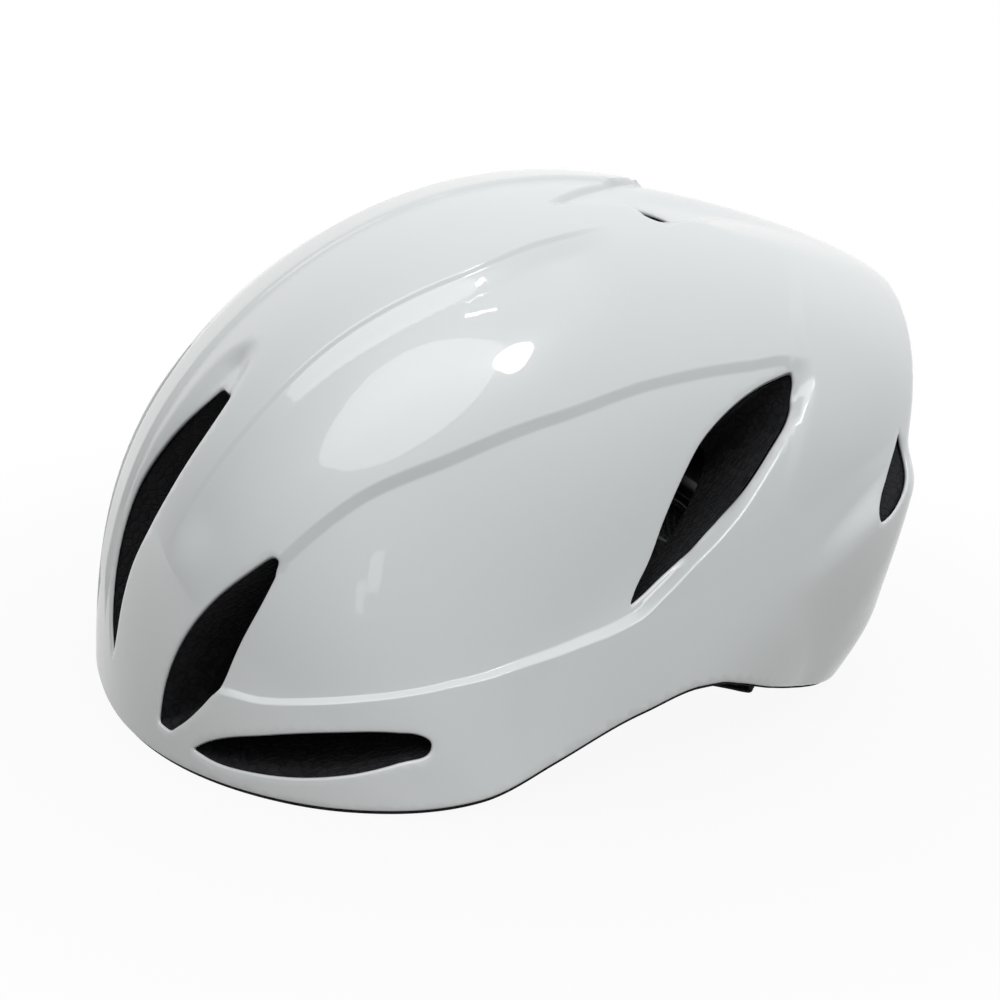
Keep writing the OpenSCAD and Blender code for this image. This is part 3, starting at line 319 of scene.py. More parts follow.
def smooth_table(pairs):
    """A curve through (place, value) pairs that never overshoots them."""
    x, y = np.array(pairs, float).T
    h = np.diff(x)
    slope = np.diff(y) / h
    m = np.zeros(len(x))
    w1, w2 = 2 * h[1:] + h[:-1], h[1:] + 2 * h[:-1]
    same = slope[:-1] * slope[1:] > 0
    one, two = np.where(same, slope[:-1], 1), np.where(same, slope[1:], 1)
    m[1:-1] = np.where(same, (w1 + w2) / (w1 / one + w2 / two), 0)
    m[0], m[-1] = slope[0], slope[-1]

    def value(t):
        t = np.clip(t, x[0], x[-1])
        i = np.clip(np.searchsorted(x, t) - 1, 0, len(h) - 1)
        u = (t - x[i]) / h[i]
        return hermite(u, y[i], y[i + 1], h[i], m[i], m[i + 1])

    return value


# Height of the lower edge, by the distance behind the ear
rim_at = smooth_table([[-160, 0], [-100, 0], [-75, 0.8], [-50, 3], [-25, 9.5], [5, 19.3], [25, 24],
                       [33, 23.6], [42, 21], [60, 13.2], [80, 5], [100, 0.5], [110, 0], [160, 0]])
# The fold beside the crown, the top of the side panel and its foot, as b by a
crease_1 = smooth_table([[0, 15], [50, 15], [65, 14], [77, 13.7], [87, 12], [93, 11], [115, 10],
                         [180, 12]])
crease_2 = smooth_table([[0, 19], [30, 23], [48, 26.4], [58, 26.8], [70, 27.8], [82, 27.2], [95, 24.8],
                         [107, 21.8], [113, 20], [180, 18]])
panel_foot = smooth_table([[0, 24], [27, 25.5], [29.6, 27.8], [32.5, 33.2], [35.7, 36.9], [40.2, 40.7],
                           [46, 44.2], [51.5, 46.4], [61.7, 48.8], [74, 49.6], [83, 49.1], [92, 47.4],
                           [97.9, 44.3], [103, 40.6], [106, 38.2], [109.3, 34.7], [111.9, 30.6],
                           [114.5, 25.6], [116, 22.6], [180, 20]])


def ray(a, b):
    """The direction from the fan's centre."""
    a, b = np.radians(a), np.radians(b)
    return np.stack([np.sin(b), -np.cos(b) * np.cos(a), np.cos(b) * np.sin(a)], -1)


def curve_at(c, s):
    """An even cubic spline through the control values c, at place s."""
    u = np.clip(s, 1, len(c) - 2.001)
    i = np.floor(u).astype(int)
    t = u - i
    return (c[i - 1] * (1 - t) ** 3 + c[i] * (3 * t ** 3 - 6 * t * t + 4)
            + c[i + 1] * (1 + 3 * t + 3 * t * t - 3 * t ** 3) + c[i + 2] * t ** 3) / 6


def plain_radius(a, b):
    """The body and the upright tail, run into each other."""
    ca, sa = np.cos(np.radians(a)), np.sin(np.radians(a))
    reach = np.where(ca > 0, front_reach, rear_reach)
    ellipse = 1 / np.sqrt((ca / reach) ** 2 + (sa / (crown_height - fan_z)) ** 2)
    s = (a + 30) / 15
    n = roundness - roundness_fall * a
    sb, cb = np.abs(np.sin(np.radians(b))), np.cos(np.radians(b))
    wide, long = half_width * curve_at(width_k, s), ellipse * curve_at(profile_k, s)
    body = ((sb / wide) ** n + (cb / long) ** n) ** (-1 / n)
    d = ray(a, b)
    run = d[..., 1] - tail_lean * d[..., 2]
    flat = (tail_reach + tail_lean * fan_z) * (1 - tail_wrap * sb ** 2) / np.maximum(run, 0.05)
    tail = np.where(run > 0.05, flat, 1000)
    h = np.clip(0.5 + (tail - body) / (2 * tail_blend), 0, 1)
    return mix(tail, body, h) - tail_blend * h * (1 - h)


def ramp(t, soft=0.15):
    """From 0 to 1 in a straight slope with rounded ends."""
    def lift(x):
        return np.where(x > soft, x, np.where(x < -soft, 0, (x + soft) ** 2 / (4 * soft)))
    return lift(t) - lift(t - 1)


def foot_skew(a):
    """How much longer a step in b is than the step square to the side panel's foot line."""
    slope = (panel_foot(a + 0.4) - panel_foot(a - 0.4)) / 0.8
    return np.sqrt(1 + (slope / 0.8) ** 2)


def foot_gap(a, b):
    """How far a place lies outside the side panel's foot line, square to the line, in degrees."""
    return (b - panel_foot(a)) / foot_skew(a)


def step_width(a):
    """Width of the step at the panel's foot, in degrees."""
    return mix(0.8, 1.5, ease((a - 45) / 45))


def panel_end(b):
    """Where the side panel meets the rear, by its sideways angle."""
    return 113.4 + 2.5 * ease((b - 16.5) / 6)


trough_left = smooth_table([[0, 3], [36, 3], [42, 3.2], [50, 4.4], [57, 5.2], [70, 6]])
trough_right = smooth_table([[0, 8], [24, 8.2], [30, 8.7], [34, 9.2], [39, 10.5], [44.5, 11.3],
                             [50, 11.3], [54, 10.8], [57, 10], [70, 9]])
pocket_side = smooth_table([[80, 7.4], [88, 7.1], [93, 6.9], [96.2, 6.8], [97.8, 8.5], [99, 8.9],
                            [100.4, 8.5], [103, 7.2], [108, 6.2], [116, 5.4], [128, 4.6], [140, 4.6]])


def pocket_front(b):
    """The pocket's front edge: an open V with its point at the back."""
    return 100 - 1.6 * b


# Heights of the moulded lines
band_rise = 1.5
fold_step, fold_fall = 0.9, 1.7
ledge_front, ledge_back, dish_depth = 2.0, 1.3, 4.5
panel_bevel, rear_rise = 1.5, 1.6
trough_depth = 2.9
pocket_step, pocket_lip, pocket_depth = 0.9, 2.2, 3.8
tail_lip = 7.5


def centre_band(a, b):
    """The raised band along the crown, up to the pocket."""
    edge = 1 - ramp((b - band_b) / 0.5 + 0.5)
    return band_rise * edge * ease((a - 24) / 8) * (1 - ramp((a - pocket_front(b)) / 0.8))


def crown_fold(a, b):
    """The fold beside the band: a small step, then a fall that runs out sideways."""
    crease = crease_1(a)
    fold = fold_step * ramp((b - crease) / 0.4 + 0.5) + fold_fall * ease((b - crease) / 2)
    return fold * (1 - ease((b - crease) / 9)) * ease((a - 38) / 7) * ease((94 - a) / 6)


def panel_wall(a, b):
    """From 0 on the side panel to 1 behind it."""
    return ramp((a - panel_end(b)) / panel_bevel + 1)


def side_panel(a, b):
    """The sunk side panel: a ledge along its top and a dish that deepens to the rear."""
    top, foot = crease_2(a), panel_foot(a)
    dish = mix(0, dish_depth, ease((a - 58) / 50)) * ease((b - top) / np.maximum(foot - top - 2, 1))
    inside_foot = 1 - ramp(foot_gap(a, b) / step_width(a) + 1)
    ledge = mix(ledge_front, ledge_back, ease((a - 60) / 30))
    sunk = ledge * ramp((b - top) / 0.7) + dish
    return sunk * ease((a - 27) / 6) * inside_foot * (1 - panel_wall(a, b))


def rear_edge(a, b):
    """The ridge behind the side panel."""
    return (rear_rise * panel_wall(a, b) * (1 - ease((a - 116) / 24)) * ease((b - 7) / 10)
            * (1 - ease((b - 24) / 9)))


def slot_trough(a, b):
    """The trough that leads up out of the front slot."""
    bed = ramp((b - trough_left(a)) / 1.6, 0.3) * ramp((trough_right(a) - b) / 2, 0.3)
    end = 1 - ease((a - 56 + 0.25 * (b - 8) ** 2) / 3.4)
    return trough_depth * bed * ease((a - 26) / 20) * end


def crown_pocket(a, b):
    """The pocket behind the crown, shallow along its middle."""
    past = a - pocket_front(b)
    side = ramp((pocket_side(a) - b) / mix(1, 5, ease((a - 101) / 8)) + 0.5)
    deep = mix(pocket_step, mix(pocket_lip, pocket_depth, ease(past / 10)), ease(b / 4.5))
    return deep * ramp(past / 0.8) * side * (1 - ease((a - 102) / 26))


def tail_edge(a, b):
    """The lip over the upright tail."""
    return (tail_lip * ease((a - 141 + b / 2) / 6) * (1 - ease((a - 147) / 14))
            * (1 - ease((b - 26) / 14)))


def relief(a, b):
    """How far the moulded lines stand over the plain body."""
    return (centre_band(a, b) - crown_fold(a, b) - side_panel(a, b) + rear_edge(a, b) - slot_trough(a, b)
            - crown_pocket(a, b) + tail_edge(a, b))


def skin_radius(a, b):
    return plain_radius(a, b) + relief(a, np.abs(b))


def on_fan(a, b, inset=0.0):
    return fan_centre + ray(a, b) * (skin_radius(a, b) - inset)[..., None]


def under_skin(a, b, depth):
    """The surface that keeps a depth from the skin in every direction, as a ball rolled under it would."""
    r = plain_radius(a, b)
    per_a, per_b = r * np.cos(np.radians(b)) * math.pi / 180, r * math.pi / 180
    low = skin_radius(a, b) - depth
    for share in (0.45, 0.8, 0.97):
        for turn in np.radians(np.arange(0, 360, 45)):
            step = share * depth
            near = skin_radius(a + step * math.cos(turn) / per_a, b + step * math.sin(turn) / per_b)
            low = np.minimum(low, near - depth * math.sqrt(1 - share ** 2))
    return fan_centre + ray(a, b) * low[..., None]


def unit(v):
    return v / np.linalg.norm(v, axis=-1, keepdims=True)


def slopes(a, b, step=0.03):
    """How the surface runs along a and along b, in mm a degree, and its outward normal."""
    along_a = (on_fan(a + step, b) - on_fan(a - step, b)) / (2 * step)
    along_b = (on_fan(a, b + step) - on_fan(a, b - step)) / (2 * step)
    return along_a, along_b, unit(np.cross(along_b, along_a))


# Outlines in the chart

def outline(points, corners, spacing=0.9):
    """A closed line through (a, b) points, smooth but for its corners, evenly spaced over the shell."""
    p = np.array(points, float)
    n = len(p)
    ahead = np.roll(p, -1, 0) - p
    h = np.linalg.norm(ahead, axis=1)
    v_out, v_in = ahead / h[:, None], np.roll(ahead / h[:, None], 1, 0)
    h_in = np.roll(h, 1)
    m = (v_in * h[:, None] + v_out * h_in[:, None]) / (h + h_in)[:, None]
    line = []
    for i in range(n):
        j = (i + 1) % n
        start, end = v_out[i] if i in corners else m[i], v_in[j] if j in corners else m[j]
        u = np.linspace(0, 1, 24, endpoint=False)[:, None]
        line.append(hermite(u, p[i], p[j], h[i], start, end))
    line = even(np.vstack(line), spacing)
    for _ in range(3):
        line = 0.5 * line + 0.25 * (np.roll(line, 1, 0) + np.roll(line, -1, 0))
    return line


def even(line, spacing):
    """A closed (a, b) line with its points at even steps over the shell."""
    closed = np.vstack([line, line[:1]])
    run = np.linalg.norm(np.diff(on_fan(*closed.T), axis=0), axis=1)
    total = np.concatenate([[0], np.cumsum(run)])
    at = np.linspace(0, total[-1], max(12, round(total[-1] / spacing)), endpoint=False)
    return np.column_stack([np.interp(at, total, closed[:, k]) for k in (0, 1)])


def inside(points, line):
    """Which (a, b) points lie within a closed line."""
    x, y = points.T
    found = np.zeros(len(points), bool)
    for (x0, y0), (x1, y1) in zip(line, np.roll(line, -1, 0)):
        if y0 != y1:
            found ^= ((y0 > y) != (y1 > y)) & (x < (x1 - x0) * (y - y0) / (y1 - y0) + x0)
    return found


def sideways(line):
    """Unit directions in the surface, square to a line and away from its middle, with the slopes."""
    along_a, along_b, normal = slopes(*line.T)
    p = on_fan(*line.T)
    side = unit(np.cross(unit(np.roll(p, -1, 0) - np.roll(p, 1, 0)), normal))
    moved = chart_step(side * 0.6, along_a, along_b)
    if inside(line + moved, line).mean() > 0.5:
        side = -side
    return side, along_a, along_b, normal


def chart_step(v, along_a, along_b):
    """The step in (a, b) that a small move over the surface makes."""
    e, f, g = (along_a * along_a).sum(-1), (along_a * along_b).sum(-1), (along_b * along_b).sum(-1)
    va, vb = (v * along_a).sum(-1), (v * along_b).sum(-1)
    det = e * g - f * f
    return np.column_stack([(va * g - vb * f) / det, (vb * e - va * f) / det])


def rim_outline(spacing=1.2):
    """The lower edge of the shell as a closed (a, b) line."""
    turn = np.linspace(0, 2 * math.pi, 1440, endpoint=False)
    reach_a, reach_b = 95 * np.cos(turn), 86 * np.sin(turn)
    low, high = np.zeros(len(turn)), np.ones(len(turn))
    for _ in range(40):
        t = (low + high) / 2
        p = on_fan(90 + reach_a * t, reach_b * t)
        over = p[:, 2] > rim_at(p[:, 1] - ear_y) + rim_lip
        low, high = np.where(over, t, low), np.where(over, high, t)
    return even(np.column_stack([90 + reach_a * low, reach_b * low]), spacing)


# The left side's vents: places in the chart, then which of them are corners
vents = {
    "slot": ([[22.6, 7.1], [24, 6.1], [26, 4.9], [29.5, 3.7], [35, 3.2], [41.5, 3.7], [46.3, 4.9],
              [50.5, 6.2], [53.8, 7.4], [53.9, 10.6], [50, 11.2], [44.5, 11.2], [39.3, 10.5], [34, 9.1],
              [30, 8.5], [25, 7.9]], (0, 8, 9)),
    "eye": ([[21.2, 20.6], [25.4, 20.5], [31, 21.2], [37.9, 23], [44, 25], [46.9, 25.8], [47.1, 26.6],
             [42.2, 27.4], [36, 27.7], [30.2, 27.9], [26.9, 26.6], [24.3, 25.2], [21.3, 22.9]],
            (0, 5, 6, 9, 12)),
    "brow": ([[21.3, 26.8], [23.1, 28.3], [29.8, 35.8], [35.5, 41.5], [41.3, 46.5], [43.8, 48.8],
              [44.3, 50], [43, 50.7], [37.6, 48.9], [31.3, 45.3], [26.3, 40.3], [23.3, 35.2],
              [21.5, 30]], (0,)),
    "side": ([[113.1, 20.9], [113.9, 21.9], [114.1, 23.1], [113.7, 24.6], [112.1, 27.7], [109.8, 31.4],
              [106.2, 35.5], [102.4, 38.8], [97.2, 42.1], [94.3, 43.8], [91.1, 45.3], [92.4, 43.3],
              [94.6, 40.7], [97.1, 36.2], [99.7, 32], [101.6, 29.3], [104.1, 26.9], [109.1, 23.2]],
             (0, 10)),
    "crown": ([[96.8, 6.8], [98, 6.1], [99.4, 6.2], [100.8, 6.9], [102, 8.2], [100.6, 8.8],
               [99.3, 9.2], [98.1, 9.1]], (0, 4)),
    "rear": ([[129.9, 19.9], [130.4, 21.3], [130.7, 24], [130.8, 26.5], [131.3, 27.9], [132.3, 28.5],
              [133.3, 27.4], [133.7, 25.6], [133.5, 23.6], [132.7, 21.6], [131.5, 20.3]], (0,)),
}
flip_b = np.array([1, -1])
vent_outlines = {}
for name, (points, corners) in vents.items():
    line = outline(points, corners)
    vent_outlines[name, "left"] = line
    vent_outlines[name, "right"] = line[::-1] * flip_b


# Meshes

def piece(name, points, faces, finish, body="root", normals=None, uv=None):
    """A mesh piece from points in mm, smooth shaded."""
    mesh = bpy.data.meshes.new(name)
    mesh.from_pydata((np.asarray(points) * MM).tolist(), [], [list(map(int, f)) for f in faces])
    mesh.validate(clean_customdata=False)
    mesh.polygons.foreach_set("use_smooth", [True] * len(mesh.polygons))
    if uv is not None:
        layer = mesh.uv_layers.new(name="UVMap")
        corner = np.zeros(len(mesh.loops), np.int32)
        mesh.loops.foreach_get("vertex_index", corner)
        layer.data.foreach_set("uv", np.asarray(uv)[corner].astype(np.float32).ravel())
    if normals is not None:
        mesh.normals_split_custom_set_from_vertices(np.asarray(normals).tolist())
    mesh.materials.append(finish)
    made = bpy.data.objects.new(name, mesh)
    scene.collection.objects.link(made)
    if body:
        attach(made, body)
    return made


def feature_lines():
    """Lines along the moulded edges, for the skin's mesh to follow: groups of like lines side by side."""
    def along(a_from, a_to, line, offsets):
        a = np.arange(a_from, a_to, 0.45)
        return [np.column_stack([a, line(a, t)]) for t in offsets]

    def foot_line(a, t):
        return panel_foot(a) + t * step_width(a) * foot_skew(a)

    b = np.arange(8, 22.4, 0.45)
    v = np.arange(0.5, 7, 0.4)
    return [
        along(88.7, 101.5, lambda a, t: pocket_side(a) + t, (-0.9, -0.6, -0.3, 0, 0.3, 0.6)),
        [np.column_stack([pocket_front(v) + t, v]) for t in (-0.3, 0, 0.3, 0.6, 0.9, 1.3)],
        along(44, 54, lambda a, t: trough_left(a) + t, (-0.2, 0.2, 0.6, 1.0, 1.4, 1.8)),
        along(30, 113.6, foot_line, (-1.3, -1.15, -0.85, -0.5, -0.15, 0.15, 0.4)),
        along(47.6, 112.2, lambda a, t: crease_2(a) + t, (-0.4, -0.15, 0.1, 0.35, 0.6, 0.85, 1.3)),
        along(40, 94, lambda a, t: crease_1(a) + t, (-0.55, -0.3, -0.1, 0.1, 0.3, 0.6)),
        along(24, 96, lambda a, t: band_b + t + 0 * a, (-0.5, -0.25, 0, 0.25, 0.5)),
        [np.column_stack([panel_end(b) + t, b]) for t in (-1.8, -1.6, -1.25, -0.75, -0.25, 0.2, 0.5)],
    ]


def chart_points(step=0.66):
    """A plain field of places over the shell, closer set where its lines are fine."""
    rows = []
    for k, a in enumerate(np.arange(13, 172, step)):
        b = np.concatenate([np.arange(0.35 * (k % 2), 46, 0.7), np.arange(46, 72, 1.1)])
        b = np.unique(np.concatenate([-b, b]))
        rows.append(np.column_stack([np.full(len(b), a), b]))
    return np.vstack(rows)


def far_from(points, lines, least=0.3):
    """Which points keep a distance from every line's own points, in degrees."""
    marks = np.vstack(lines)
    tree = KDTree(len(marks))
    for i, (x, y) in enumerate(marks):
        tree.insert((x, y, 0), i)
    tree.balance()
    return np.array([tree.find((x, y, 0))[2] > least for x, y in points])


edge_round = 0.9
chart_mm = 2.6
rim = rim_outline()


def rolled_edges():
    """Rows of points from each edge up on to the skin, and a guard line just past them."""
    loops, guards = [], []
    for line, is_rim in [(rim, True)] + [(v, False) for v in vent_outlines.values()]:
        side, along_a, along_b, _ = sideways(line)
        away = -side if is_rim else side
        for turn in np.radians([90, 62, 36, 14]):
            step = edge_round * (1 - math.sin(turn))
            loops.append((line + chart_step(away * step, along_a, along_b),
                          edge_round * (1 - math.cos(turn)), math.sin(turn), away))
        guards.append((line + chart_step(away * (edge_round + 0.5), along_a, along_b), is_rim))
    return loops, guards


def kept_runs(guards):
    """The feature lines of both sides, less what lies in a vent or past the rim."""
    lines = [line * way for group in feature_lines() for line in group for way in (1, flip_b)]
    runs = []
    for points in lines:
        kept = np.ones(len(points), bool)
        for guard, is_rim in guards:
            kept &= inside(points, guard) == is_rim
        for part in np.split(np.arange(len(points)), np.where(~kept)[0]):
            part = part[kept[part]]
            if len(part) > 1:
                runs.append(points[part])
    return runs


def make_shell():
    """The white shell: one skin over the chart, cut by the rim and the vents and given its wall."""
    loops, guards = rolled_edges()
    runs = kept_runs(guards)
    grid = chart_points()
    for guard, is_rim in guards:
        grid = grid[inside(grid, guard) == is_rim]
    grid = grid[far_from(grid, runs)]
    ab = np.vstack([loop[0] for loop in loops] + runs + [grid])
    inset, lean, away = np.zeros(len(ab)), np.zeros(len(ab)), np.zeros((len(ab), 3))
    edges, at = [], 0
    for places, loop_inset, loop_lean, loop_away in loops:
        n = len(places)
        inset[at:at + n], lean[at:at + n], away[at:at + n] = loop_inset, loop_lean, loop_away
        edges += [(at + i, at + (i + 1) % n) for i in range(n)]
        at += n
    for run in runs:
        edges += [(at + i, at + i + 1) for i in range(len(run) - 1)]
        at += len(run)
    flat = [Vector((chart_mm * a, chart_mm * b)) for a, b in ab]
    found, _, faces, source, _, _ = delaunay_2d_cdt(flat, edges, [], 0, 1e-6)
    pick = []
    for place, kept in zip(found, source):
        if kept:
            pick.append(kept[0])
            continue
        pick.append(len(ab))
        ab, inset, lean = np.vstack([ab, np.array(place) / chart_mm]), np.append(inset, 0), np.append(lean, 0)
        away = np.vstack([away, np.zeros(3)])
    faces = np.array(pick)[np.array(faces)]
    middle = ab[faces].mean(1)
    kept = inside(middle, rim)
    for line in vent_outlines.values():
        kept &= ~inside(middle, line)
    faces = faces[kept]
    used = np.unique(faces)
    renumber = np.full(len(ab), -1)
    renumber[used] = np.arange(len(used))
    return walled(renumber[faces], ab[used], inset[used], lean[used], away[used])


def walled(faces, ab, inset, lean, away):
    """The shell from its skin: an outer face with rolled edges, an inner face, and the edge between."""
    skin, normal = on_fan(*ab.T), slopes(*ab.T)[2]
    outer = skin - normal * inset[:, None]
    inner = under_skin(*ab.T, shell_t)
    shade = unit(normal * np.sqrt(1 - lean ** 2)[:, None] - away * lean[:, None])
    p, q, r = (outer[faces[:, k]] for k in range(3))
    back = (np.cross(q - p, r - p) * normal[faces].mean(1)).sum(1) < 0
    faces[back] = faces[back][:, ::-1]
    n = len(ab)
    sides = {(f[i], f[(i + 1) % 3]): 1 for f in faces for i in range(3)}
    wall = [w for i, j in sides if (j, i) not in sides for w in ((j, i, i + n), (j, i + n, j + n))]
    every_face = faces.tolist() + (faces[:, ::-1] + n).tolist() + wall
    return piece("shell", np.vstack([outer, inner]), every_face, finishes["gloss_white"],
                 normals=np.vstack([shade, -normal]))


def grid_faces(m, w):
    i, j = np.meshgrid(np.arange(m - 1), np.arange(w - 1), indexing="ij")
    p = (i * w + j).ravel()
    return np.column_stack([p, p + 1, p + w + 1, p + w])


def grid_ring(m, w):
    """The numbers of a grid's outer points, in order."""
    number = np.arange(m * w).reshape(m, w)
    return np.concatenate([number[0, :-1], number[:-1, -1], number[-1, :0:-1], number[:0:-1, 0]])


def tube_faces(rows, around, capped=True):
    """Faces of a tube of rings, with its ends closed."""
    number = np.arange(rows * around).reshape(rows, around)
    faces = []
    for low, high in zip(number, number[1:]):
        faces += np.column_stack([low, np.roll(low, -1), np.roll(high, -1), high]).tolist()
    if capped:
        faces += [number[0][::-1].tolist(), number[-1].tolist()]
    return faces


def thick_grid(front, back):
    """Points and faces of a closed solid between two like grids, front outside."""
    m, w = front.shape[:2]
    n = m * w
    ring = grid_ring(m, w)
    after = np.roll(ring, -1)
    faces = grid_faces(m, w)[:, ::-1].tolist() + (grid_faces(m, w) + n).tolist()
    faces += np.column_stack([ring, after, after + n, ring + n]).tolist()
    return np.vstack([front.reshape(-1, 3), back.reshape(-1, 3)]), faces


def mesh_only(name, points, faces):
    made = piece(name, points, faces, finishes["foam_black"], body=None)
    tidy_normals(made.data)
    return made


def tidy_normals(mesh):
    """Doubles merged and faces turned outwards."""
    work = bmesh.new()
    work.from_mesh(mesh)
    bmesh.ops.remove_doubles(work, verts=work.verts, dist=1e-7)
    bmesh.ops.recalc_face_normals(work, faces=work.faces)
    work.to_mesh(mesh)
    work.free()


def carve(body, cutters, operation="DIFFERENCE"):
    """The body less its cutters, as a plain mesh."""
    for cutter in cutters:
        tool = body.modifiers.new("cut", "BOOLEAN")
        tool.object, tool.operation, tool.solver = cutter, operation, "MANIFOLD"
    bpy.context.view_layer.update()
    done = bpy.data.meshes.new_from_object(body.evaluated_get(bpy.context.evaluated_depsgraph_get()))
    body.modifiers.clear()
    body.data = done
    for cutter in cutters:
        bpy.data.objects.remove(cutter)
    return body


head_r, head_mid = np.array([80.0, 99.0, 134.0]), -1.2
hinge_y, hinge_z = -5.2, 24.0
vent_middle = np.array([0, ear_y - 5, 20])


def dome_block():
    """The solid under the shell, down to the fan's centre."""
    rows = np.arange(9, 172, 0.8)
    cols = np.concatenate([np.arange(-71, -52, 2.0), np.arange(-52, 52, 0.7), np.arange(52, 72, 2.0)])
    a, b = np.meshgrid(rows, cols, indexing="ij")
    skin = under_skin(a, b, shell_t + shell_gap + 0.2)
    points = np.vstack([skin.reshape(-1, 3), fan_centre])
    m, w = a.shape
    ring = grid_ring(m, w)
    faces = grid_faces(m, w).tolist() + [[i, j, m * w] for i, j in zip(ring, np.roll(ring, -1))]
    return mesh_only("foam", points, faces)


def rim_block():
    """Everything under the foam's lower edge."""
    y = np.linspace(-220, 220, 221)
    x = np.array([-200.0, 200.0])
    top = np.array([[[i, j, float(rim_at(j - ear_y))] for i in x] for j in y])
    low = top.copy()
    low[..., 2] = -150
    return mesh_only("under rim", *thick_grid(top, low))


def ellipsoid(name, r, segments=96, rings=64):
    """An ellipsoid round the middle of the head."""
    el = np.linspace(-90, 90, rings + 1)[1:-1]
    az = np.linspace(0, 360, segments, endpoint=False)
    e, z = np.meshgrid(np.radians(el), np.radians(az), indexing="ij")
    body = np.stack([np.cos(e) * np.cos(z), np.cos(e) * np.sin(z), np.sin(e)], -1).reshape(-1, 3)
    points = np.vstack([body, [[0, 0, -1], [0, 0, 1]]]) * r + [0, head_mid, 0]
    number = np.arange(len(body)).reshape(-1, segments)
    faces = tube_faces(len(number), segments, capped=False)
    faces += [[j, i, len(body)] for i, j in zip(number[0], np.roll(number[0], -1))]
    faces += [[i, j, len(body) + 1] for i, j in zip(number[-1], np.roll(number[-1], -1))]
    return mesh_only(name, points, faces)


def block(name, size, at, turn=0.0):
    """A box that stands on its place, turned about the upright."""
    corner = np.array([[x, y, z] for x in (-1, 1) for y in (-1, 1) for z in (0, 1)], float)
    corner = corner * [size[0] / 2, size[1] / 2, size[2]]
    c, s = math.cos(math.radians(turn)), math.sin(math.radians(turn))
    points = corner @ np.array([[c, s, 0], [-s, c, 0], [0, 0, 1]]) + at
    faces = [[0, 1, 3, 2], [4, 6, 7, 5], [0, 4, 5, 1], [2, 3, 7, 6], [0, 2, 6, 4], [1, 5, 7, 3]]
    return mesh_only(name, points, faces)


def rod(name, radius, x_from, x_to, y, z, sides=48):
    """A round bar along x."""
    turn = np.linspace(0, 2 * math.pi, sides, endpoint=False)
    ring = np.column_stack([np.zeros(sides), radius * np.cos(turn) + y, radius * np.sin(turn) + z])
    points = np.vstack([ring + [x_from, 0, 0], ring + [x_to, 0, 0]])
    return mesh_only(name, points, tube_faces(2, sides))


def tunnel(line, grow):
    """A vent's way through the foam, narrowing towards the middle of the head."""
    side, along_a, along_b, _ = sideways(line)
    wide = line + chart_step(side * grow, along_a, along_b)
    skin = on_fan(*wide[::2].T)
    levels = [mix(vent_middle, skin, t) for t in (0.45, 0.7, 0.9, 0.985, 1.1)]
    return mesh_only("tunnel", np.vstack(levels), tube_faces(len(levels), len(skin)))


# Left strap slots: x, y, turn and height of the anchor's foot
strap_slots = [(90.0, -35.2, 60.0, 9.2), (75.0, 61.8, 140.0, 19.25)]
anchor_seat, seat_gap = (20.6, 6.4, 10.6), 0.3
strap_way, way_depth = (16.2, 2.4, 41), 40
channel_x, channel_w, channel_deep = 22, 14, 9
flange_r, flange_from, flange_to = 7.3, 72.9, 78.2
foam_margin = 0.9


def make_foam():
    """The foam liner: dome, rim, cavity, air channels, vents and the seats of what is set into it."""
    body = carve(dome_block(), [rim_block(), ellipsoid("cavity", head_r)])
    for x in (-channel_x, channel_x):
        cut = block("slice", (channel_w, 400, 200), (x, 0, 50))
        carve(body, [carve(ellipsoid("channel", head_r + channel_deep), [cut], "INTERSECT")])
    for (name, _), line in vent_outlines.items():
        if name != "rear":
            carve(body, [tunnel(line, foam_margin)])
    for x, y, turn, base in strap_slots:
        for way in (-1, 1):
            carve(body, [block("anchor seat", anchor_seat, (way * x, y, base - seat_gap), way * turn)])
            carve(body, [block("strap slot", strap_way, (way * x, y, base - way_depth), way * turn)])
    for way in (-1, 1):
        carve(body, [rod("flange seat", flange_r, way * flange_from, way * flange_to, hinge_y, hinge_z)])
    mesh = body.data
    mesh.polygons.foreach_set("use_smooth", [True] * len(mesh.polygons))
    mesh.set_sharp_from_angle(angle=math.radians(34))
    body.name = "foam_liner_moulding"
    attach(body, "root")
    return body


shell = make_shell()
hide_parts("outer_shell")
foam = make_foam()
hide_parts("foam_liner")


# Fit pads

def head_point(az, el, inward):
    """A place on the cavity's wall, by its turn from the front and its rise."""
    az, el = np.radians(az), np.radians(el)
    r = head_r - inward[..., None]
    return np.stack([r[..., 0] * np.cos(el) * np.sin(az), head_mid - r[..., 1] * np.cos(el) * np.cos(az),
                     r[..., 2] * np.sin(el)], -1)


def head_top(x, y, inward):
    """A place on the cavity's roof, seen from above."""
    r = head_r - inward[..., None]
    u, v = x / r[..., 0], (y - head_mid) / r[..., 1]
    return np.stack([x, y, r[..., 2] * np.sqrt(1 - u * u - v * v)], -1)


pad_seat, pad_border, border_t, pad_loft = 1.9, 1.6, 1.0, 4.7
crease_depth, crease_width, creases_a_side = 0.7, 1.3, 3
pad_end_power, pad_end_least = 5, 0.02


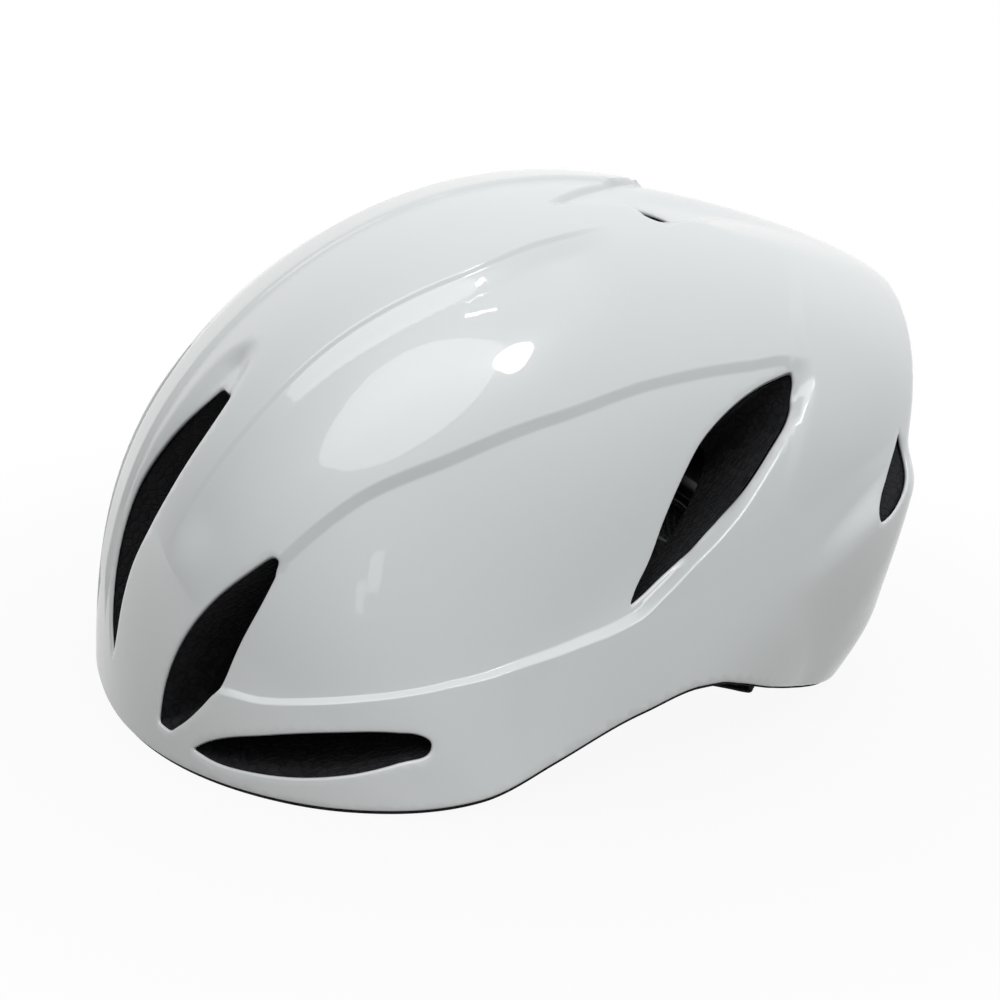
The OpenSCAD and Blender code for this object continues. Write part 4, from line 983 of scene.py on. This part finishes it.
def pad(name, node, place, long_mm, wide_mm, body):
    """A foam pad under knit cloth: a flat welded border, then a soft crown with faint cross creases."""
    m, w = 150, 34
    u = np.sin(np.radians(np.linspace(-90, 90, m)))[:, None] * np.ones((1, w))
    t = np.sin(np.radians(np.linspace(-90, 90, w)))[None, :] * np.ones((m, 1))
    end = np.sqrt(np.maximum(pad_end_least, 1 - np.abs(u) ** pad_end_power))
    v = t * end
    from_side = (1 - np.abs(t)) * end * wide_mm / 2
    from_end = (1 - np.abs(u)) * long_mm / 2
    d = np.minimum(from_side, from_end * 1.3)
    rise = np.clip((d - pad_border) / (wide_mm / 2 - pad_border), 0, 1)
    crown = np.sqrt(np.clip(1 - (1 - rise) ** 2.2, 0, 1))
    creases = np.zeros_like(u)
    for k in range(-creases_a_side, creases_a_side + 1):
        creases += np.exp(-((u * long_mm / 2 - k * long_mm / 8) / crease_width) ** 2)
    thick = border_t + (pad_loft - crease_depth * creases) * crown
    front, back = place(u, v, pad_seat + thick), place(u, v, np.full_like(u, pad_seat))
    points, faces = thick_grid(front, back)
    uv = np.column_stack([(u * long_mm / 2).ravel(), (v * wide_mm / 2).ravel()]) * MM
    made = piece(name, points, faces, finishes["pad_cloth"], body=None, uv=np.vstack([uv, uv]))
    tidy_normals(made.data)
    made.data.set_sharp_from_angle(angle=math.radians(60))
    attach(made, body)
    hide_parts(node)


seam_inset, seam_height = 1.1, 3.0


def seam_path(place, long_mm, wide_mm):
    """Points just inside a pad's edge, for its stitches."""
    turn = np.linspace(0, 2 * math.pi, 200, endpoint=False)
    c, s = np.cos(turn), np.sin(turn)
    u = np.sign(c) * np.abs(c) ** 0.25 * (1 - seam_inset / (long_mm / 2))
    v = np.sign(s) * np.abs(s) ** 0.6 * (1 - seam_inset / (wide_mm / 2))
    v = v * np.sqrt(np.maximum(pad_end_least, 1 - np.abs(u) ** pad_end_power))
    return place(u, v, np.full_like(u, seam_height))


def stitched(name, paths, pitch, long, thick, body):
    """Stitches along closed paths, laid by a node tree: a short rod at even steps, turned along the path."""
    curve = bpy.data.curves.new(name, "CURVE")
    curve.dimensions = "3D"
    for path in paths:
        spline = curve.splines.new("POLY")
        spline.points.add(len(path) - 1)
        for point, at in zip(spline.points, path):
            point.co = (*(at * MM), 1)
        spline.use_cyclic_u = True
    line = bpy.data.objects.new(name + "_line", curve)
    scene.collection.objects.link(line)
    tree = bpy.data.node_groups.new(name, "GeometryNodeTree")
    face = tree.interface
    face.new_socket("Geometry", in_out="INPUT", socket_type="NodeSocketGeometry")
    sizes = {}
    for label, value in (("Pitch", pitch), ("Stitch length", long), ("Thread radius", thick / 2)):
        socket = face.new_socket(label, in_out="INPUT", socket_type="NodeSocketFloat")
        socket.default_value = value * MM
        sizes[socket.identifier] = value * MM
    face.new_socket("Geometry", in_out="OUTPUT", socket_type="NodeSocketGeometry")
    given = add_node(tree, "NodeGroupInput").outputs
    spread = add_node(tree, "GeometryNodeCurveToPoints", {
        "Curve": given["Geometry"], "Length": given["Pitch"]}, mode="LENGTH").outputs
    stitch = add_node(tree, "GeometryNodeMeshCylinder", {
        "Vertices": 6, "Depth": given["Stitch length"], "Radius": given["Thread radius"]}).outputs["Mesh"]
    laid = add_node(tree, "GeometryNodeInstanceOnPoints", {
        "Points": spread["Points"], "Rotation": spread["Rotation"], "Instance": stitch}).outputs["Instances"]
    real = add_node(tree, "GeometryNodeRealizeInstances", {"Geometry": laid}).outputs["Geometry"]
    dressed = add_node(tree, "GeometryNodeSetMaterial", {"Geometry": real, "Material": thread})
    add_node(tree, "NodeGroupOutput", {"Geometry": dressed.outputs["Geometry"]})
    tool = line.modifiers.new(name, "NODES")
    tool.node_group = tree
    for identifier, size in sizes.items():
        tool[identifier] = size
    bpy.context.view_layer.update()
    mesh = bpy.data.meshes.new_from_object(line.evaluated_get(bpy.context.evaluated_depsgraph_get()))
    line.modifiers.clear()
    bpy.data.objects.remove(line)
    mesh.polygons.foreach_set("use_smooth", [True] * len(mesh.polygons))
    made = bpy.data.objects.new(name, mesh)
    scene.collection.objects.link(made)
    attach(made, body)


def wall_place(az, el, az_half, el_half):
    """A pad's chart on the cavity's wall, round a middle place."""
    return lambda u, v, inward: head_point(az + u * az_half, el + v * el_half, inward)


def crown_place(u, v, inward):
    return head_top(-v * 13.0, head_mid + u * 52.0, inward)


belt_back, stow_turn = 11, 12
nape_r, nape_sink, nape_turn, nape_half = 65.6, 0.66, 19, 9.4


def cradle_point(r, turn, z):
    """A point in the belt's frame, by radius, turn from the back and height, with the belt stowed."""
    c, s = math.cos(math.radians(stow_turn)), math.sin(math.radians(stow_turn))
    x, y = r * np.sin(np.radians(turn)), belt_back + r * np.cos(np.radians(turn))
    return np.stack([x, hinge_y + y * c - z * s, hinge_z + y * s + z * c], -1)


def nape_place(u, v, depth):
    return cradle_point(nape_r - nape_sink * (depth - pad_seat), nape_turn * u, nape_half * v)


def sewn_pads(stitches, body, pads):
    """The pads of one body, each with a line of stitches inside its edge."""
    for name, node, place, long_mm, wide_mm in pads:
        pad(name, node, place, long_mm, wide_mm, body)
    seams = [seam_path(place, long_mm, wide_mm) for _, _, place, long_mm, wide_mm in pads]
    stitched(stitches, seams, 2.6, 1.8, 0.45, body)


sewn_pads("pad_stitches", "root", [
    ("brow_pad_cloth", "brow_pad", wall_place(0, 13, 50, 6.2), 150, 27),
    ("side_pad_cloth_left", "side_pad_left", wall_place(88, 47, 34, 6.5), 78, 22),
    ("side_pad_cloth_right", "side_pad_right", wall_place(-88, 47, 34, 6.5), 78, 22),
    ("crown_pad_cloth", "crown_pad", crown_place, 106, 25),
])
sewn_pads("nape_pad_stitches", "cradle", [("nape_pad_cloth", "nape_pad", nape_place, 43, 19)])


# Webbing

strap_w, strap_t, strap_round = 15.0, 1.2, 0.5
selvedge, face_sink = 2.2, 0.06
sewn_from, sewn_long, sewn_inset, sewn_lift = 5, 11, 2, 0.1
sewn_boxes = []


def track(stations, steps=9):
    """A smooth line through stations of x, y, z and the turn of the width."""
    s = np.array(stations, float)
    out = []
    for i in range(len(s) - 1):
        p, q, r, w = s[max(0, i - 1)], s[i], s[i + 1], s[min(len(s) - 1, i + 2)]
        for t in np.arange(steps) / steps:
            out.append(0.5 * (2 * q + (r - p) * t + (2 * p - 5 * q + 4 * r - w) * t * t
                              + (3 * q - p - 3 * r + w) * t ** 3))
    return np.vstack(out + [s[-1]])


def strap_profile():
    """The webbing's cross section: round edges, with the woven face a little below them."""
    hw, ht, r = strap_w / 2, strap_t / 2, strap_round
    arc = np.radians([0, 30, 60, 90])
    corner = np.column_stack([hw - r + r * np.cos(arc), ht - r + r * np.sin(arc)])
    flat = np.array([[x, ht - face_sink] for x in np.linspace(hw - selvedge, selvedge - hw, 7)])
    upper = np.vstack([corner, flat, corner[::-1] * [-1, 1]])
    return np.vstack([upper, -upper])


def sewn_box(run, fields, face):
    """The outline of a box of stitches near a strap's first end, on one face."""
    box = []
    for share in np.linspace(0, 4, 41)[:-1]:
        u, v = [(share, 0), (1, share - 1), (3 - share, 1), (0, 4 - share)][int(share)]
        at = np.interp(sewn_from + sewn_long * u, run, np.arange(len(run)))
        k, t = int(at), at % 1
        middle, side, up = (mix(field[k], field[min(k + 1, len(run) - 1)], t) for field in fields)
        box.append(middle + side * (2 * v - 1) * (strap_w / 2 - sewn_inset)
                   + up * face * (strap_t / 2 + sewn_lift))
    return np.array(box)


def strap(name, node, stations, mirror=1):
    """A strap along its stations, flat woven, with a sewn box on each face."""
    line = track(stations)
    place = line[:, :3]
    along = unit(np.vstack([place[1:2] - place[:1], place[2:] - place[:-2], place[-1:] - place[-2:-1]]))
    turn = np.radians(line[:, 3])
    wide = np.column_stack([np.cos(turn), np.sin(turn), np.zeros(len(turn))])
    across = unit(wide - along * (wide * along).sum(1, keepdims=True))
    lift = np.cross(across, along)
    profile = strap_profile()
    n, k = len(place), len(profile)
    sideways_part, upward_part = profile[None, :, :1], profile[None, :, 1:]
    points = place[:, None] + across[:, None] * sideways_part + lift[:, None] * upward_part
    points = points.reshape(-1, 3)
    run = np.concatenate([[0], np.cumsum(np.linalg.norm(np.diff(place, axis=0), axis=1))])
    uv = np.column_stack([np.repeat(run, k), np.tile(profile[:, 0], n)]) * MM
    points[:, 0] *= mirror
    made = piece(name, points, tube_faces(n, k), finishes["webbing"], body=None, uv=uv)
    tidy_normals(made.data)
    made.data.set_sharp_from_angle(angle=math.radians(50))
    for face in (1, -1):
        sewn_boxes.append(sewn_box(run, (place, across, lift), face) * [mirror, 1, 1])
    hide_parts(node)
    return made


# Routes of the straps: x, y, z and the turn of the width
front_route = [
    [90, -35.2, 18.2, 60], [90, -35.2, 10.2, 60], [90, -35.2, 5.77, 60], [90, -35.2, 3.97, 60],
    [87.89, -33.17, 2.45, 59.6], [84.08, -29.5, 1.6, 57.3], [77.32, -22.99, 1.2, 51],
    [69.72, -15.67, 2.7, 46.1], [62.95, -9.16, 8, 46.1], [57.04, -3.46, 10.5, 46.1],
    [51.54, 1.83, 7, 46.1], [47.74, 5.49, 2.5, 46.1], [44.86, 8.27, 2.5, 46.1], [41.98, 11.04, 2.5, 46.1],
]
rear_route = [
    [75, 61.8, 28.25, 140], [75, 61.8, 20.25, 140], [75, 61.8, 14.64, 140], [75, 61.8, 12.84, 140],
    [73.58, 60.17, 12.44, 140], [69.34, 55.26, 12.54, 139.7], [63.67, 48.73, 12.24, 139.2],
    [58.01, 42.19, 11.04, 139.1], [52.91, 36.31, 8.44, 139.1], [48.94, 31.73, 5.1, 139.1],
    [46.68, 29.12, 2.5, 139.1], [44.06, 26.1, 2.5, 139.1], [41.44, 23.07, 2.5, 139.1],
]
chin_left_route = [
    [27.7, 16.8, 2.5, 90], [23.7, 16.8, 2.5, 90], [19.7, 16.8, 2.5, 90], [15.2, 16, 7, 104],
    [11.6, 12.8, 10.1, 132], [10.2, 7.8, 10.9, 160], [10, 2.8, 8.9, 176], [10, -4.9, 4.4, 180],
    [10, -8.9, 4.4, 180], [10, -12.9, 4.4, 180],
]
chin_right_route = [
    [10, -45.5, 4.4, 0], [10, -49.5, 4.4, 0], [10, -55.5, 4.7, 0], [9.5, -63.5, 7.4, 0],
    [9, -66.5, 12.4, 2], [8, -63.5, 17.4, 4], [6, -53.5, 19.4, 8], [3, -33.5, 19.4, 14],
    [0.58, -9.37, 19.4, 26], [-5.83, 4.34, 15.4, 48], [-11.87, 12.44, 9.4, 72], [-19.7, 16.8, 3.1, 88],
    [-23.7, 16.8, 2.5, 90], [-27.7, 16.8, 2.5, 90],
]
for side, way in (("left", 1), ("right", -1)):
    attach(strap("front_webbing_" + side, "front_strap_" + side, front_route, way), "root")
    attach(strap("rear_webbing_" + side, "rear_strap_" + side, rear_route, way), "root")
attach(strap("chin_webbing_left", "chin_strap_left", chin_left_route), "root")
chin_right = strap("chin_webbing_right", "chin_strap_right", chin_right_route)
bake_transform(chin_right)
stitched("webbing_stitches", sewn_boxes, 1.6, 1.1, 0.4, "root")


# Finishes of the carried-over nodes

slots = {s["node"]: s["material_slot"] for s in frame["record"]["subparts"]}
for name, node in nodes.items():
    node.data.materials.clear()
    node.data.materials.append(finishes[slots[name]])


# Floor, world and lamps

BACKDROP = (-0.93, 0.36, 0.0)
OVERHEAD = (0.05, 0.3, 0.95)
FLOOR_HALF = 6000.0


def make_floor():
    """A pale floor that melts into white where it is seen, and is brighter in reflections by the backdrop."""
    floor = Finish("pale floor", (0.27, 0.265, 0.26), 0.7)
    rays = floor.add("ShaderNodeLightPath").outputs
    white = floor.add("ShaderNodeEmission", {"Color": (1, 1, 1, 1), "Strength": 1.0})
    away = floor.add("ShaderNodeVectorMath", {0: floor.place}, operation="LENGTH").outputs["Value"]
    behind = floor.add("ShaderNodeVectorMath", {0: floor.place, 1: BACKDROP}, operation="DOT_PRODUCT")
    seen = floor.math("MULTIPLY", rays["Is Camera Ray"], floor.range(away, 0.1, 0.3, 0.93, 1.0))
    mirrored = floor.math("MULTIPLY", rays["Is Glossy Ray"],
                          floor.range(behind.outputs["Value"], -0.3, 0.3, 0.35, 1.0))
    share = floor.math("MAXIMUM", seen, mirrored)
    both = floor.add("ShaderNodeMixShader", {0: share, 1: floor.shader.outputs[0], 2: white.outputs[0]})
    floor.feed(Base_Color=floor.blend(floor.noise(3, 2), (0.265, 0.26, 0.255), (0.28, 0.275, 0.27)))
    floor.tree.links.new(both.outputs[0], floor.tree.nodes["Material Output"].inputs["Surface"])
    corners = np.array([[-1, -1, 0], [1, -1, 0], [1, 1, 0], [-1, 1, 0]]) * FLOOR_HALF
    piece("floor", corners, [[0, 1, 2, 3]], floor.material, body=None)


def make_world():
    """A pale room: brighter overhead for the surfaces it lights, plain white where it is seen."""
    world = bpy.data.worlds.new("studio")
    scene.world = world
    world.use_nodes = True
    tree = world.node_tree
    tree.nodes.clear()
    rays = add_node(tree, "ShaderNodeLightPath").outputs
    way = add_node(tree, "ShaderNodeTexCoord").outputs["Generated"]

    def towards(direction, sockets):
        """A value that grows softly as the view turns towards a direction."""
        dot = add_node(tree, "ShaderNodeVectorMath", {0: way, 1: direction}, operation="DOT_PRODUCT")
        return add_node(tree, "ShaderNodeMapRange", {"Value": dot.outputs["Value"], **sockets},
                        interpolation_type="SMOOTHSTEP").outputs["Result"]

    def joined(operation, one, two):
        return add_node(tree, "ShaderNodeMath", {0: one, 1: two}, operation=operation).outputs[0]

    sky = towards(OVERHEAD, {"From Min": -0.15, "From Max": 1.0, "To Min": 0.05, "To Max": 0.84})
    dim = add_node(tree, "ShaderNodeBackground", {"Color": (0.96, 0.995, 1, 1), "Strength": sky})
    bright = add_node(tree, "ShaderNodeBackground", {"Color": (1, 1, 1, 1), "Strength": 1.0})
    backdrop = towards(BACKDROP, {"From Min": -0.1, "From Max": 0.5})
    mirrored = joined("MULTIPLY", rays["Is Glossy Ray"], backdrop)
    seen = joined("MAXIMUM", rays["Is Camera Ray"], rays["Is Transmission Ray"])
    white = joined("MAXIMUM", seen, mirrored)
    choose = add_node(tree, "ShaderNodeMixShader", {0: white, 1: dim.outputs[0], 2: bright.outputs[0]})
    add_node(tree, "ShaderNodeOutputWorld", {"Surface": choose.outputs[0]})


def mirrored_lamp(name, at, way, away, size, power, long, shape="RECTANGLE"):
    """A small lamp whose reflection falls at a place (mm) on the shell, along the mirrored sight line."""
    light = bpy.data.lights.new(name, "AREA")
    light.shape, light.size, light.size_y, light.energy = shape, size, long, power
    holder = bpy.data.objects.new(name, light)
    scene.collection.objects.link(holder)
    target = Vector(at) * MM
    holder.location = target + Vector(way) * away
    holder.rotation_mode = "QUATERNION"
    holder.rotation_quaternion = (target - holder.location).to_track_quat("-Z", "Y")


def make_lamps():
    """The lamps that the photograph shows as reflections."""
    crown, pane = (65.8, -58.7, 110.9), (84.5, -70.3, 66.8)
    mirrored_lamp("ceiling opening", crown, (0.42, -0.30, 0.85), 1.4, 1.3, 6.2, 0.95, "ELLIPSE")
    mirrored_lamp("round lamp", (66.6, -24.1, 123), (0.54, 0.113, 0.834), 0.9, 0.14, 0.8, 0.22, "ELLIPSE")
    mirrored_lamp("strip lamp", (55, -32.1, 134.9), (0.1, -0.028, 0.995), 1.1, 0.12, 0.09, 0.018)
    mirrored_lamp("window pane", pane, (0.857, -0.293, 0.423), 1.2, 0.09, 0.05, 0.12)
    mirrored_lamp("window pane low", pane, (0.83, -0.36, 0.36), 1.2, 0.07, 0.03, 0.1)


make_floor()
make_world()
make_lamps()
make_camera()
scene.view_settings.view_transform = "Standard"
